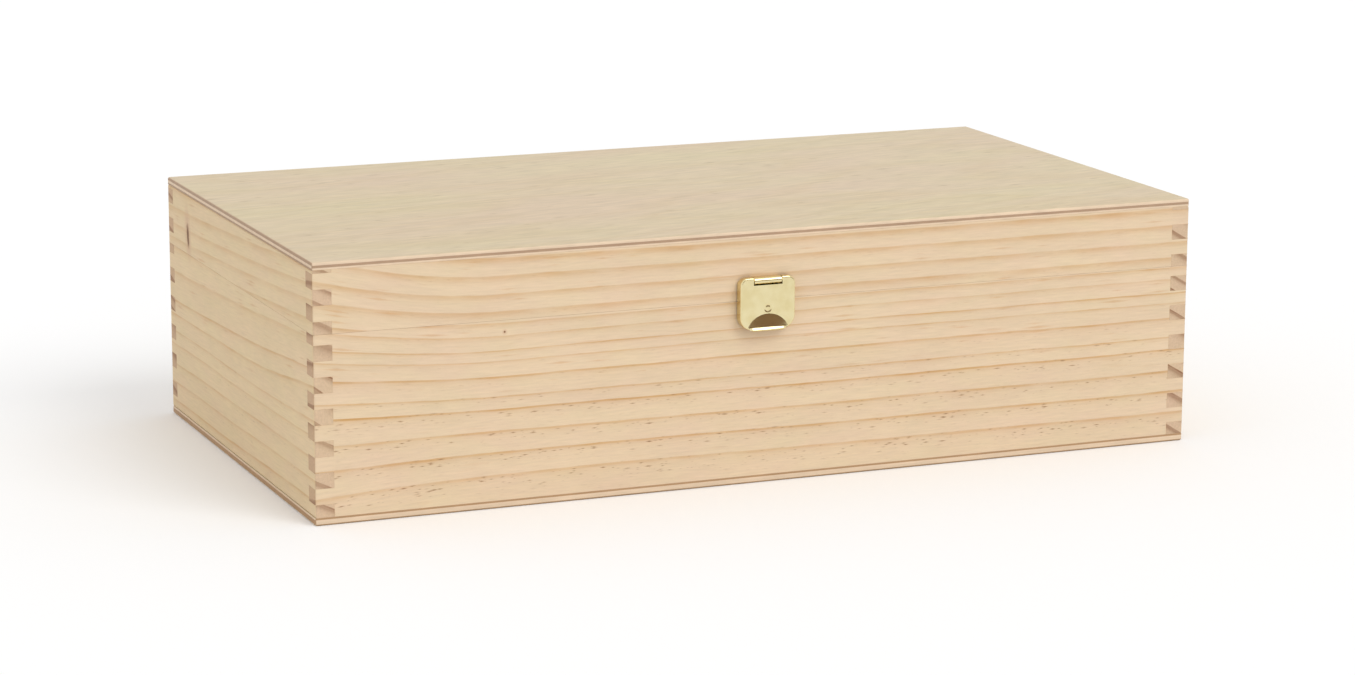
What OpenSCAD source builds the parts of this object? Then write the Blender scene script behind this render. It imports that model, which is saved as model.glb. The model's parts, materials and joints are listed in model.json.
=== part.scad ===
// Hinged wooden box for two bottles, papers or keepsakes.
//
// Four finger-jointed pine boards and two thin plywood panels are glued up as one
// closed box, which is then sawn open all the way round: the upper part becomes
// the lid.  Two small butt hinges join the parts behind, and a sprung sheet-metal
// catch holds them together in front.
//
// Millimetres.  The origin is the centre of the underside, X runs along the box,
// the catch faces -Y and +Z is up.

/* [Box] */
// Outside length of the box, left to right
box_w = 365; // [260:5:600]
// Outside depth of the box, front to back
box_d = 197; // [120:1:400]
// Height of the base, from the underside to the saw cut
base_h = 71.8; // [45:0.1:150]
// Height of the lid, from the saw cut to the top
lid_h = 26.9; // [20:0.1:90]
// Thickness of the pine boards
wall = 7.5; // [6:0.5:12]
// Thickness of the plywood top and bottom
panel_t = 3; // [2:0.5:6]
// Rounding of the outer arrises
arris_r = 0.8; // [0.3:0.1:1.6]

/* [Finger joints] */
// Width of one finger
finger_w = 6; // [4:0.5:12]
// Width of the lowest finger, above the bottom panel
first_finger_w = 5; // [2:0.5:8]
// Wood that the saw took out between the base and the lid
saw_kerf = 3.5; // [1:0.1:5]
// Gap that is left all round when the lid is shut
seam_gap = 0.3; // [0.2:0.05:0.8]
// Thinnest finger that the saw leaves standing
least_finger = 0.4; // [0.2:0.1:1]

/* [Catch] */
// How far the catch sits to the right of the box's middle
catch_x = -2.7; // [-20:0.1:20]
// Width of the catch's cover
cover_w = 22.8; // [20.6:0.1:32]
// Height of the cover above the saw cut
cover_rise = 9.4; // [8.8:0.1:14]
// Height of the cover below the saw cut
cover_drop = 10.9; // [10.2:0.1:18]
// How far the cover stands out from the box
cover_depth = 4; // [3.8:0.1:6]
// Thickness of the catch's sheet metal
sheet_t = 0.6; // [0.4:0.05:0.8]
// Corner radius at the top of the cover
cover_top_r = 3; // [1.5:0.5:4]
// Corner radius at the bottom of the cover
cover_bottom_r = 5; // [2:0.5:6]
// Gap between the cover's rim and the wood
rim_gap = 0.5; // [0.3:0.1:0.8]
// Width of the tongue that is rolled round the cover's bar
tongue_w = 11.3; // [8:0.1:14]
// How far the rolled tongue stands out from the cover
tongue_proud = 0.25; // [0.15:0.05:0.6]
// Radius of the bar that the cover hangs on
bar_r = 0.7; // [0.5:0.05:0.9]
// Length of the bar past each side of the tongue's slot
bar_hold = 2.6; // [1:0.1:3.5]
// Width of the finger lip where it meets the cover's lower edge
lip_w = 17; // [10:0.1:20]
// Height of the finger lip
lip_h = 6.1; // [3:0.1:7]
// How far the finger lip flares out past the cover
lip_reach = 1.4; // [0.5:0.1:2.5]
// Radius of the pressed dimple above the lip
dimple_r = 1.6; // [1:0.1:2.2]
// Depth of the dimple
dimple_depth = 0.25; // [0.1:0.05:0.35]
// Height of the dimple's centre above the cover's lower edge
dimple_rise = 8.4; // [7.8:0.1:9.9]
// Width of the plate under the cover, on the lid
plate_w = 16; // [12:0.5:20]
// Width of the keeper, on the base
keeper_w = 15; // [10:0.5:16]
// Height of the keeper's rounded ridge above the wood
ridge_h = 1.5; // [1:0.1:1.9]
// Gap between the saw cut and each of the catch's plates
plate_gap = 1; // [0.6:0.1:2]
// Clearance between the cover's hook and the keeper's ridge
snap_gap = 0.2; // [0.15:0.05:0.5]
// Gap between the rolled tongue and the edges of its slot
slot_gap = 0.3; // [0.2:0.05:0.5]
// Gap between the swinging cover and the plate behind it
swing_gap = 0.3; // [0.2:0.05:0.5]
// Corner radius of the catch's plates
plate_corner_r = 1; // [0.3:0.1:1.5]

/* [Hinges] */
// Width of one hinge along the box
hinge_w = 25; // [18:0.5:50]
// Distance between the centres of the two hinges
hinge_spacing = 230; // [120:5:230]
// Height of one leaf, from the pin to its free edge
leaf_h = 10; // [9:0.5:16]
// Thickness of a leaf
leaf_t = 0.8; // [0.6:0.1:1.2]
// Corner radius of a leaf
leaf_corner_r = 1.5; // [0.5:0.1:2]
// Radius of the hinge pin
pin_r = 0.9; // [0.7:0.05:1.4]
// Gap between two knuckles
knuckle_gap = 0.3; // [0.2:0.05:0.6]
// Gap between the knuckles and the wood
knuckle_clear = 0.3; // [0.2:0.05:0.6]

/* [Fasteners and fits] */
// Radial clearance of a pin or a bar in its knuckle
pin_fit = 0.05; // [0.03:0.01:0.08]
// Radial clearance of a nail or a screw in its hole
hole_fit = 0.04; // [0.02:0.01:0.1]
// Wood left behind the point of a nail or a screw
point_cover = 1.5; // [1:0.1:3]
// Radius of a nail's shank
nail_r = 0.55; // [0.4:0.05:0.7]
// Radius of a nail's head
nail_head_r = 1.2; // [0.9:0.05:1.4]
// Height of a nail's domed head
nail_head_h = 0.6; // [0.3:0.05:0.8]
// Distance between the two nails of one plate
nail_spacing = 8.6; // [5:0.1:9.5]
// Radius of a hinge screw's shank
screw_r = 0.9; // [0.6:0.05:1.1]
// Distance from a screw to the leaf's side edge
screw_side = 5; // [3:0.1:6]
// Distance from a screw to the leaf's free edge
screw_edge = 3.8; // [3:0.1:4.5]
// Width of the slots of a screw's cross recess
recess_w = 0.45; // [0.3:0.05:0.6]

/* [Hidden] */
$fn = 64;

// Cutting bodies run this far past what they cut
past = 1;
// A corner that is left sharp has this radius
sharp_r = 0.01;

// Heights of the closed box
lid_z = base_h + seam_gap;
seam_z = base_h + seam_gap / 2;
box_h = lid_z + lid_h;

// The lid's fingers sit lower than they were cut, by the wood that the saw took
lid_shift = seam_gap - saw_kerf;

// The catch, measured up from the middle of the seam and out from the front
curl_r = bar_r + pin_fit + sheet_t;
bar_y = cover_rise - curl_r;
bar_out = cover_depth + tongue_proud - curl_r;
slot_w = tongue_w + 2 * slot_gap;
swing_r = bar_out - sheet_t - swing_gap;
lip_circle_r = (pow(lip_w / 2, 2) + pow(lip_h, 2)) / (2 * lip_h);
lip_y = lip_h - cover_drop - lip_circle_r;
hook_out = ridge_h + snap_gap;
ridge_r = ridge_h - sheet_t / 2;
ridge_y = -cover_drop + 2 * sheet_t + ridge_r;
keeper_top = -seam_gap / 2 - plate_gap;
plate_bottom = seam_gap / 2 + plate_gap;
plate_top = bar_y - curl_r - 2 * slot_gap;
lid_nail_y = (plate_bottom + plate_top) / 2;
keeper_nail_y = (keeper_top + ridge_y + ridge_r) / 2;
dimple_ball_r = (pow(dimple_r, 2) + pow(dimple_depth, 2)) / (2 * dimple_depth);

// The hinges, measured up from the middle of the seam and out from the back
knuckle_r = pin_r + pin_fit + leaf_t;
pin_out = knuckle_r + knuckle_clear;
knuckle_w = hinge_w / 3;

// Fasteners go this deep into the wood
drive_depth = wall - point_cover;
nail_head_ball_r = (pow(nail_head_r, 2) + pow(nail_head_h, 2)) / (2 * nail_head_h);

// ---------------------------------------------------------------- shared shapes

// True where a board of the front or back has a finger, at a height in the box
// as it was before the saw cut; the other two boards have theirs in between.
function front_finger(z) =
    floor((z - panel_t - first_finger_w) / finger_w) % 2 == 0;

// Heights between z0 and z1 at which the fingers change over.
function changes(z0, z1, shift) = [
    for (z = [panel_t + first_finger_w + shift : finger_w : z1 - least_finger])
        if (z > z0 + least_finger) z
];

// One end of a board, from the bottom up: [how far it stands back, height].
function board_end(z0, z1, shift, front) =
    let (zs = concat([z0], changes(z0, z1, shift), [z1]))
    [
        for (i = [0 : len(zs) - 2])
            let (middle = (zs[i] + zs[i + 1]) / 2 - shift)
            let (back = front_finger(middle) == front ? 0 : wall)
                each [[back, zs[i]], [back, zs[i + 1]]]
    ];

// Outline of a board with fingers at both ends.
module board_outline(length, z0, z1, shift, front) {
    up = board_end(z0, z1, shift, front);
    last = len(up) - 1;
    polygon(concat(
        [for (p = up) [length / 2 - p[0], p[1]]],
        [for (i = [0 : last]) [up[last - i][0] - length / 2, up[last - i][1]]]
    ));
}

// Rectangle from a to b whose lower corners have radius low and upper ones high.
module round_rect(a, b, low, high) {
    polygon([
        [a[0] + low, a[1]], [b[0] - low, a[1]], [b[0], a[1] + low],
        [b[0], b[1] - high], [b[0] - high, b[1]], [a[0] + high, b[1]],
        [a[0], b[1] - high], [a[0], a[1] + low]
    ]);
    for (x = [a[0] + low, b[0] - low]) translate([x, a[1] + low]) circle(r = low);
    for (x = [a[0] + high, b[0] - high]) translate([x, b[1] - high]) circle(r = high);
}

// The box's footprint as a tall column: it rounds the upright arrises.
module column() {
    translate([0, 0, -past])
        linear_extrude(box_h + 2 * past)
            round_rect([-box_w / 2, -box_d / 2], [box_w / 2, box_d / 2], arris_r, arris_r);
}

// A front board (side = -1) or a back board (side = 1) from z0 to z1.
module long_board(side, z0, z1, shift) {
    intersection() {
        translate([0, side * (box_d - wall) / 2 + wall / 2, 0])
            rotate([90, 0, 0])
                linear_extrude(wall) board_outline(box_w, z0, z1, shift, true);
        column();
    }
}

// A left board (side = -1) or a right board (side = 1) from z0 to z1.
module short_board(side, z0, z1, shift) {
    intersection() {
        translate([side * (box_w - wall) / 2 - wall / 2, 0, 0])
            rotate([90, 0, 90])
                linear_extrude(wall) board_outline(box_d, z0, z1, shift, false);
        column();
    }
}

// A panel whose outer arrises are rounded: below = true rounds the lower ones.
module panel(z0, below) {
    low = below ? arris_r : sharp_r;
    high = below ? sharp_r : arris_r;
    intersection() {
        translate([0, box_d / 2 + past, z0])
            rotate([90, 0, 0])
                linear_extrude(box_d + 2 * past)
                    round_rect([-box_w / 2, 0], [box_w / 2, panel_t], low, high);
        translate([-box_w / 2 - past, 0, z0])
            rotate([90, 0, 90])
                linear_extrude(box_w + 2 * past)
                    round_rect([-box_d / 2, 0], [box_d / 2, panel_t], low, high);
        column();
    }
}

// Catch frame: x along the box from the catch's middle, y up from the seam, z out from the front.
module at_latch() {
    translate([catch_x, -box_d / 2, seam_z]) rotate([90, 0, 0]) children();
}

// Hinge frame: y up from the seam, z out from the back.
module at_hinge(x) {
    translate([x, box_d / 2, seam_z]) rotate([90, 0, 180]) children();
}

// A round bar along x, centred on x = 0.
module bar(r, length) {
    rotate([0, 90, 0]) cylinder(r = r, h = length, center = true);
}

// ------------------------------------------------------------------- fasteners

// The two nails of a plate of the catch, at height y.
module at_nails(y) {
    at_latch()
        for (x = [-nail_spacing / 2, nail_spacing / 2]) translate([x, y, 0]) children();
}

// Nail with a domed head that sits on a plate.
module nail() {
    translate([0, 0, -drive_depth]) cylinder(r = nail_r, h = drive_depth + sheet_t + 0.1);
    translate([0, 0, sheet_t])
        intersection() {
            translate([0, 0, nail_head_h - nail_head_ball_r]) sphere(r = nail_head_ball_r);
            cylinder(r = nail_head_r + past, h = nail_head_h + past);
        }
}

// Hole for a nail, through a plate and into the wood.
module nail_hole() {
    translate([0, 0, -drive_depth])
        cylinder(r = nail_r + hole_fit, h = drive_depth + sheet_t + past);
}

// The screws of both hinges in the leaves above (side = 1) or below (side = -1).
module at_screws(side) {
    for (hinge = [-hinge_spacing / 2, hinge_spacing / 2])
        at_hinge(hinge) leaf_screws(side) children();
}

// The two screws of one leaf.
module leaf_screws(side) {
    for (x = [screw_side - hinge_w / 2, hinge_w / 2 - screw_side])
        translate([x, side * (leaf_h - screw_edge), 0]) children();
}

// Shank and countersunk head, with a clearance all round.
module screw_body(fit) {
    translate([0, 0, -drive_depth]) cylinder(r = screw_r + fit, h = drive_depth + leaf_t);
    cylinder(r1 = screw_r + fit, r2 = screw_r + leaf_t + fit, h = leaf_t);
}

// Countersunk screw with a cross recess.
module screw() {
    difference() {
        screw_body(0);
        for (turn = [45, 135])
            translate([0, 0, leaf_t]) rotate(turn)
                cube([2 * screw_r + leaf_t, recess_w, leaf_t], center = true);
    }
}

// ------------------------------------------------------------------------ base

module base_front_board() {
    color("burlywood")
        difference() {
            long_board(-1, panel_t, base_h, 0);
            at_nails(keeper_nail_y) nail_hole();
        }
}

module base_back_board() {
    color("burlywood")
        difference() {
            long_board(1, panel_t, base_h, 0);
            at_screws(-1) screw_body(hole_fit);
        }
}

module base_left_board() {
    color("burlywood") short_board(-1, panel_t, base_h, 0);
}

module base_right_board() {
    color("burlywood") short_board(1, panel_t, base_h, 0);
}

module bottom_panel() {
    color("wheat") panel(0, true);
}

// ------------------------------------------------------------------------- lid

module lid_front_board() {
    color("burlywood")
        difference() {
            long_board(-1, lid_z, box_h - panel_t, lid_shift);
            at_nails(lid_nail_y) nail_hole();
        }
}

module lid_back_board() {
    color("burlywood")
        difference() {
            long_board(1, lid_z, box_h - panel_t, lid_shift);
            at_screws(1) screw_body(hole_fit);
        }
}

module lid_left_board() {
    color("burlywood") short_board(-1, lid_z, box_h - panel_t, lid_shift);
}

module lid_right_board() {
    color("burlywood") short_board(1, lid_z, box_h - panel_t, lid_shift);
}

module top_panel() {
    color("wheat") panel(box_h - panel_t, false);
}

// ----------------------------------------------------------------------- catch

// Outline of the cover, set in by the given distance.
module cover_outline(inset) {
    round_rect(
        [inset - cover_w / 2, inset - cover_drop],
        [cover_w / 2 - inset, cover_rise - inset],
        cover_bottom_r - inset, cover_top_r - inset
    );
}

// The cover as pressed: a shallow pan, open towards the wood.
module cover_pan() {
    difference() {
        translate([0, 0, rim_gap])
            linear_extrude(cover_depth - rim_gap) cover_outline(0);
        linear_extrude(cover_depth - sheet_t) cover_outline(sheet_t);
    }
}

// What is cut from the pan so that it can swing, snap and let the tongue through.
module cover_cuts() {
    // Slot for the rolled tongue
    translate([-slot_w / 2, bar_y - curl_r - slot_gap, -past])
        cube([slot_w, 2 * curl_r + slot_gap + past, cover_depth + 2 * past]);
    // Rim above the bar, outside the circle in which it swings clear
    difference() {
        translate([-cover_w / 2 - past, bar_y, -past])
            cube([cover_w + 2 * past, curl_r + past, bar_out + past]);
        translate([0, bar_y, bar_out]) bar(swing_r, cover_w + 4 * past);
    }
    // Lower rim, where it passes the keeper's ridge
    translate([-keeper_w / 2 - past, -cover_drop - past, 0])
        cube([keeper_w + 2 * past, past + 2 * sheet_t, hook_out]);
    // Front sheet inside the lip's circle
    intersection() {
        translate([0, lip_y, cover_depth - sheet_t])
            cylinder(r = lip_circle_r, h = sheet_t + past);
        translate([-cover_w / 2, -cover_drop - past, 0])
            cube([cover_w, lip_h + 2 * past, cover_depth + past]);
    }
}

// Finger lip: a cone of sheet that flares out towards the cover's lower edge.
module finger_lip() {
    slope = lip_reach / lip_h;
    run = lip_h + past / 2;
    intersection() {
        translate([0, lip_y, cover_depth])
            rotate_extrude()
                polygon([
                    [lip_circle_r - run, slope * run - sheet_t],
                    [lip_circle_r, -sheet_t],
                    [lip_circle_r, 0],
                    [lip_circle_r - run, slope * run]
                ]);
        translate([-cover_w / 2, -cover_drop, 0])
            cube([cover_w, lip_h + past, cover_depth + lip_reach + past]);
    }
}

module latch_cover() {
    color("khaki")
        at_latch() {
            difference() {
                union() {
                    difference() {
                        cover_pan();
                        cover_cuts();
                    }
                    finger_lip();
                }
                // Pressed dimple
                translate([0, dimple_rise - cover_drop, cover_depth - dimple_depth + dimple_ball_r])
                    sphere(r = dimple_ball_r);
            }
            // Bar that hangs in the rolled tongue
            translate([0, bar_y, bar_out]) bar(bar_r, slot_w + 2 * bar_hold);
        }
}

module latch_lid_plate() {
    color("khaki")
        difference() {
            at_latch() {
                linear_extrude(sheet_t)
                    round_rect([-plate_w / 2, plate_bottom], [plate_w / 2, plate_top],
                               plate_corner_r, plate_corner_r);
                // Tongue: up the wood, out over the bar and round it
                translate([-tongue_w / 2, plate_bottom + sheet_t, 0])
                    cube([tongue_w, cover_rise - plate_bottom - sheet_t, sheet_t]);
                difference() {
                    union() {
                        translate([-tongue_w / 2, cover_rise - sheet_t, 0])
                            cube([tongue_w, sheet_t, bar_out]);
                        translate([0, bar_y, bar_out]) bar(curl_r, tongue_w);
                    }
                    translate([0, bar_y, bar_out]) bar(bar_r + pin_fit, tongue_w + past);
                }
            }
            at_nails(lid_nail_y) nail_hole();
        }
}

module latch_keeper() {
    color("khaki")
        difference() {
            at_latch() {
                linear_extrude(sheet_t)
                    round_rect([-keeper_w / 2, ridge_y], [keeper_w / 2, keeper_top],
                               sharp_r, plate_corner_r);
                intersection() {
                    translate([0, ridge_y, sheet_t / 2]) bar(ridge_r, keeper_w);
                    translate([-keeper_w / 2, ridge_y - ridge_r, 0])
                        cube([keeper_w, 2 * ridge_r, ridge_h]);
                }
            }
            at_nails(keeper_nail_y) nail_hole();
        }
}

module latch_lid_nails() {
    color("gold") at_nails(lid_nail_y) nail();
}

module latch_keeper_nails() {
    color("gold") at_nails(keeper_nail_y) nail();
}

// ---------------------------------------------------------------------- hinges

// Centres of a leaf's knuckles: the base has the outer two, the lid the middle.
function knuckle_places(side) = side < 0 ? [-knuckle_w, knuckle_w] : [0];

// One leaf with its knuckles, side = 1 above the pin or -1 below it.
module leaf(side) {
    difference() {
        union() {
            // Plate, clear of the knuckles that belong to the other leaf
            mirror([0, side < 0 ? 1 : 0, 0])
                linear_extrude(leaf_t)
                    round_rect([-hinge_w / 2, knuckle_r + knuckle_gap], [hinge_w / 2, leaf_h],
                               sharp_r, leaf_corner_r);
            for (x = knuckle_places(side)) translate([x, 0, 0]) {
                translate([0, 0, pin_out]) bar(knuckle_r, knuckle_w - knuckle_gap);
                translate([0, side * leaf_h / 4, leaf_t / 2])
                    cube([knuckle_w - knuckle_gap, leaf_h / 2, leaf_t], center = true);
            }
        }
        translate([0, 0, pin_out]) bar(pin_r + pin_fit, hinge_w + past);
        leaf_screws(side) screw_body(hole_fit);
    }
}

module hinge_leaf(hinge, side) {
    color("khaki") at_hinge(hinge * hinge_spacing / 2) leaf(side);
}

module hinge_pin(hinge) {
    color("silver")
        at_hinge(hinge * hinge_spacing / 2) translate([0, 0, pin_out]) bar(pin_r, hinge_w);
}

module hinge_left_base_leaf() { hinge_leaf(-1, -1); }
module hinge_left_lid_leaf() { hinge_leaf(-1, 1); }
module hinge_left_pin() { hinge_pin(-1); }
module hinge_right_base_leaf() { hinge_leaf(1, -1); }
module hinge_right_lid_leaf() { hinge_leaf(1, 1); }
module hinge_right_pin() { hinge_pin(1); }

module hinge_base_screws() {
    color("gold") at_screws(-1) screw();
}

module hinge_lid_screws() {
    color("gold") at_screws(1) screw();
}

// -------------------------------------------------------------------- assembly

base_front_board();
base_back_board();
base_left_board();
base_right_board();
bottom_panel();
lid_front_board();
lid_back_board();
lid_left_board();
lid_right_board();
top_panel();
latch_lid_plate();
latch_cover();
latch_keeper();
latch_lid_nails();
latch_keeper_nails();
hinge_left_base_leaf();
hinge_left_lid_leaf();
hinge_left_pin();
hinge_right_base_leaf();
hinge_right_lid_leaf();
hinge_right_pin();
hinge_base_screws();
hinge_lid_screws();
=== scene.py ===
# %% [markdown]
# # A finger-jointed wooden box with a brass catch
# The box holds two bottles, papers or keepsakes.  Pine boards and thin birch plywood are glued up
# as one closed box, and a saw then cuts the lid free.  The CAD model gives every piece its real
# size and its joints; this lesson gives each piece its finish and its fine shape.  We load the
# CAD model first, because nothing may be larger than it or stand anywhere else.

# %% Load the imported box
import json
import math

import bpy
import numpy as np
from mathutils import Matrix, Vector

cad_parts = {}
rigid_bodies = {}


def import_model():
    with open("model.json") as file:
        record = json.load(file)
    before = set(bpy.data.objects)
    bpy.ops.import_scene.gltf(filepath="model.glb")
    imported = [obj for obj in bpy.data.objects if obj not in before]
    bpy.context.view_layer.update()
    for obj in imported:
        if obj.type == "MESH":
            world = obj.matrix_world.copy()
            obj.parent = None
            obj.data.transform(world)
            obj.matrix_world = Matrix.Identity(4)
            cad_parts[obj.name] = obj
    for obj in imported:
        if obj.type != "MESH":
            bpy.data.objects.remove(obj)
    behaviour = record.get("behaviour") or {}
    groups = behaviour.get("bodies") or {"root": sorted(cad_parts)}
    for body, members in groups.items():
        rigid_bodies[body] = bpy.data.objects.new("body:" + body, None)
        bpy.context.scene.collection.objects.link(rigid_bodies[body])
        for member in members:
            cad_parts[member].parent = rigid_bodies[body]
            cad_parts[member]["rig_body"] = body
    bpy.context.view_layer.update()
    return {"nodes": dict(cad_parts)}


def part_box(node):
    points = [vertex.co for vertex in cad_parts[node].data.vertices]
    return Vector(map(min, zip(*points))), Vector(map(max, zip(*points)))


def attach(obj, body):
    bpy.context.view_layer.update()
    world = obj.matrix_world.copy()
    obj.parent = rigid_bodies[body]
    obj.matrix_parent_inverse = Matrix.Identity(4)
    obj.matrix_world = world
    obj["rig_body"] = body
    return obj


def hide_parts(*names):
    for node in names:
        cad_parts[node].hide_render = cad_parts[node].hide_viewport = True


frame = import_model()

# %% [markdown]
# ## Sizes in millimetres
# A joiner thinks in millimetres, so the shapes below are worked out in millimetres and turned to
# metres once, when a mesh is made.  Outer sizes are measured on the CAD nodes.  The few sizes that
# a node's box can't tell, such as the width of a finger, are named here.

# %% Measure the CAD nodes
MM = 0.001


def box_mm(node_name):
    """Lowest and highest corner of a CAD node, in millimetres."""
    low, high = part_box(node_name)
    return np.array(low) / MM, np.array(high) / MM


front_low, front_high = box_mm("base_front_board")
lid_low, lid_high = box_mm("lid_left_board")
top_low, top_high = box_mm("top_panel")
half_width = front_high[0]
half_depth = -front_low[1]
wall = front_high[1] - front_low[1]
panel_top = front_low[2]
base_top = front_high[2]
lid_bottom = lid_low[2]
lid_top = lid_high[2]
box_top = top_high[2]
seam_height = (base_top + lid_bottom) / 2
print(f"box {2 * half_width:.1f} x {2 * half_depth:.1f} x {box_top:.1f} mm, boards {wall:.1f} mm")

# %% Sizes that a node's box can't tell
FINGER = 6.0         # a finger and the gap beside it are equally wide
FIRST_FINGER = 5.0   # the lowest one is cut narrower
SAW_CUT = 3.5        # wood that the saw turned to dust between base and lid
ARRIS = 0.8          # rounding of the box's outer corners
SANDED = 0.12        # rounding of every other edge
HAIRLINE = 0.03      # half the seam that shows between base and lid
NEAR = 0.01          # places closer than this are the same place
saw_loss = SAW_CUT - (lid_bottom - base_top)
print(f"the saw took {SAW_CUT} mm, so the lid's wood sits {saw_loss:.1f} mm lower than it grew")

# %% [markdown]
# ## A few small tools
# Every new shape ends as points and faces, and every finish is a web of shader nodes.  One
# function makes a mesh from arrays and one adds a node, so that each later cell is only about
# wood or brass.  Others let a piece stand in for its CAD node and ride on the same body, turn a
# written colour to linear light, and lay one colour over another.


# %% Make a mesh piece and let it stand for a CAD node
def mesh_piece(name, points, faces, sharp_degrees=35):
    """Object at the origin from points in millimetres.  All faces are shaded smooth, and an edge
    stays sharp where its two faces meet at more than sharp_degrees."""
    mesh = bpy.data.meshes.new(name)
    mesh.from_pydata((np.asarray(points, float) * MM).tolist(), [], [list(f) for f in faces])
    mesh.polygons.foreach_set("use_smooth", np.ones(len(mesh.polygons), bool))
    mesh.set_sharp_from_angle(angle=math.radians(sharp_degrees))
    piece = bpy.data.objects.new(name, mesh)
    bpy.context.scene.collection.objects.link(piece)
    return piece


def dress(piece, node_name, material):
    """The piece stands for a CAD node, rides on that node's body and wears a material."""
    piece.data.materials.append(material)
    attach(piece, frame["nodes"][node_name]["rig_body"])
    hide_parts(node_name)
    print(f"{piece.name}: {len(piece.data.polygons)} faces")


# %% Add a shader node
def grey(value):
    """Colour of a plain number."""
    return (value, value, value, 1.0)


def node(tree, kind, links=(), stops=(), **settings):
    """Add a shader node.  kind is its name, with what a Math node works out after a dot.  links
    gives its inputs, by place or by name, as numbers, sockets or nodes, whose first output is then
    used: a MapRange takes a value, the two ends that it runs between and the two that they become.
    stops fills a colour ramp with greys, or a curve."""
    kind, _, operation = kind.partition(".")
    made = tree.nodes.new("ShaderNode" + kind)
    if operation:
        made.operation = operation
    for name, value in settings.items():
        setattr(made, name, value)
    for key, value in links.items() if isinstance(links, dict) else enumerate(links):
        source = value.outputs[0] if isinstance(value, bpy.types.Node) else value
        if isinstance(source, bpy.types.NodeSocket):
            tree.links.new(source, made.inputs[key])
        else:
            made.inputs[key].default_value = source
    is_ramp = kind == "ValToRGB"
    if stops:
        scale = made.color_ramp.elements if is_ramp else made.mapping.curves[0].points
    for number, (place, value) in enumerate(stops):
        if number >= len(scale):
            scale.new(place) if is_ramp else scale.new(place, value)
        if is_ramp:
            scale[number].position = place
            scale[number].color = grey(value)
        else:
            scale[number].location = (place, value)
            scale[number].handle_type = "AUTO_CLAMPED"
    return made


# %% Start a material and lay colours over each other
def srgb(hex_code):
    """Linear colour of an sRGB hex value such as "e7d0b1"."""
    coded = np.array([int(hex_code[i:i + 2], 16) for i in (0, 2, 4)]) / 255
    linear = np.where(coded <= 0.04045, coded / 12.92, ((coded + 0.055) / 1.055) ** 2.4)
    return (*linear.tolist(), 1.0)


def new_material(name, roughness, specular=0.5, metallic=0.0):
    """Material with an empty Principled shader; gives the material, its tree and the shader."""
    material = bpy.data.materials.new(name)
    material.use_nodes = True
    shader = material.node_tree.nodes["Principled BSDF"]
    shader.inputs["Roughness"].default_value = roughness
    shader.inputs["Specular IOR Level"].default_value = specular
    shader.inputs["Metallic"].default_value = metallic
    return material, material.node_tree, shader


def stained(tree, colour, *stains):
    """Lay stains over a colour, one after the other.  Each stain is a share from 0 to 1 and a
    tint; a colour or tint is a hex value, or what earlier nodes give."""
    for share, tint in stains:
        below, above = (srgb(c) if isinstance(c, str) else c for c in (colour, tint))
        mixed = node(tree, "Mix", {"Factor": share, 6: below, 7: above}, data_type="RGBA")
        colour = mixed.outputs[2]
    return colour


print("tools ready")

# %% [markdown]
# ## Camera and light
# The box stands on a pale floor under an even white sky, with one broad soft lamp from the front
# right.  The sky alone would leave the front as dim as the ends; the lamp lifts the front and the
# top to full strength, so that a colour shows there as it is written.  The floor and the sky look
# white to the camera without more light falling on the box.  Bright metal needs something dark to
# mirror as well, so a low dark card stands in front, which only reflections see.


# %% Camera
def put(thing, sideways, upwards, backwards, place=(0.0, 0.0, 0.0)):
    """Stand a camera or a lamp at a place, with its own three axes along these directions."""
    axes = np.eye(4)
    axes[:3, :3] = np.column_stack([sideways, upwards, backwards])
    axes[:3, 3] = place
    thing.matrix_world = Matrix(axes)
    bpy.context.scene.collection.objects.link(thing)


EYE = (-0.5887, -1.4180, 0.3679)                 # in metres
YAW, PITCH, ROLL = (math.radians(a) for a in (22.64, 12.16, 0.23))
LENS, SENSOR, FARTHEST = 102.5, 36.0, 60.0       # the first two in millimetres, the last in metres
ahead = np.array([math.sin(YAW) * math.cos(PITCH), math.cos(YAW) * math.cos(PITCH), -math.sin(PITCH)])
level = np.array([math.cos(YAW), -math.sin(YAW), 0.0])
upright = np.cross(level, ahead)
right = math.cos(ROLL) * level + math.sin(ROLL) * upright
up = math.cos(ROLL) * upright - math.sin(ROLL) * level
camera_data = bpy.data.cameras.new("camera")
camera_data.lens = LENS
camera_data.sensor_width = SENSOR
camera_data.clip_end = FARTHEST
camera = bpy.data.objects.new("camera", camera_data)
put(camera, right, up, -ahead, EYE)
bpy.context.scene.camera = camera
bpy.context.scene.view_settings.view_transform = "Standard"
print("camera", EYE)

# %% Sky and lamp
SKY_LIGHT = 0.82
LAMP_LIGHT = 0.90
LAMP_FROM = (0.35, -0.66, 0.66)
LAMP_SPREAD = math.radians(36)


def seen_directly(tree):
    """1 for rays from the camera and for rays that metal mirrors or glass would let through, 0 for
    rays that carry light."""
    path = node(tree, "LightPath")
    seen = node(tree, "Math.ADD", (path.outputs["Is Camera Ray"], path.outputs["Is Glossy Ray"]))
    return node(tree, "Math.ADD", (seen, path.outputs["Is Transmission Ray"]), use_clamp=True)


world = bpy.data.worlds.new("white_studio")
world.use_nodes = True
bpy.context.scene.world = world
sky = world.node_tree
strength = node(sky, "MapRange", (seen_directly(sky), 0.0, 1.0, SKY_LIGHT, 1.0))
sky.links.new(strength.outputs[0], sky.nodes["Background"].inputs["Strength"])
sky.nodes["Background"].inputs["Color"].default_value = grey(1.0)

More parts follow.
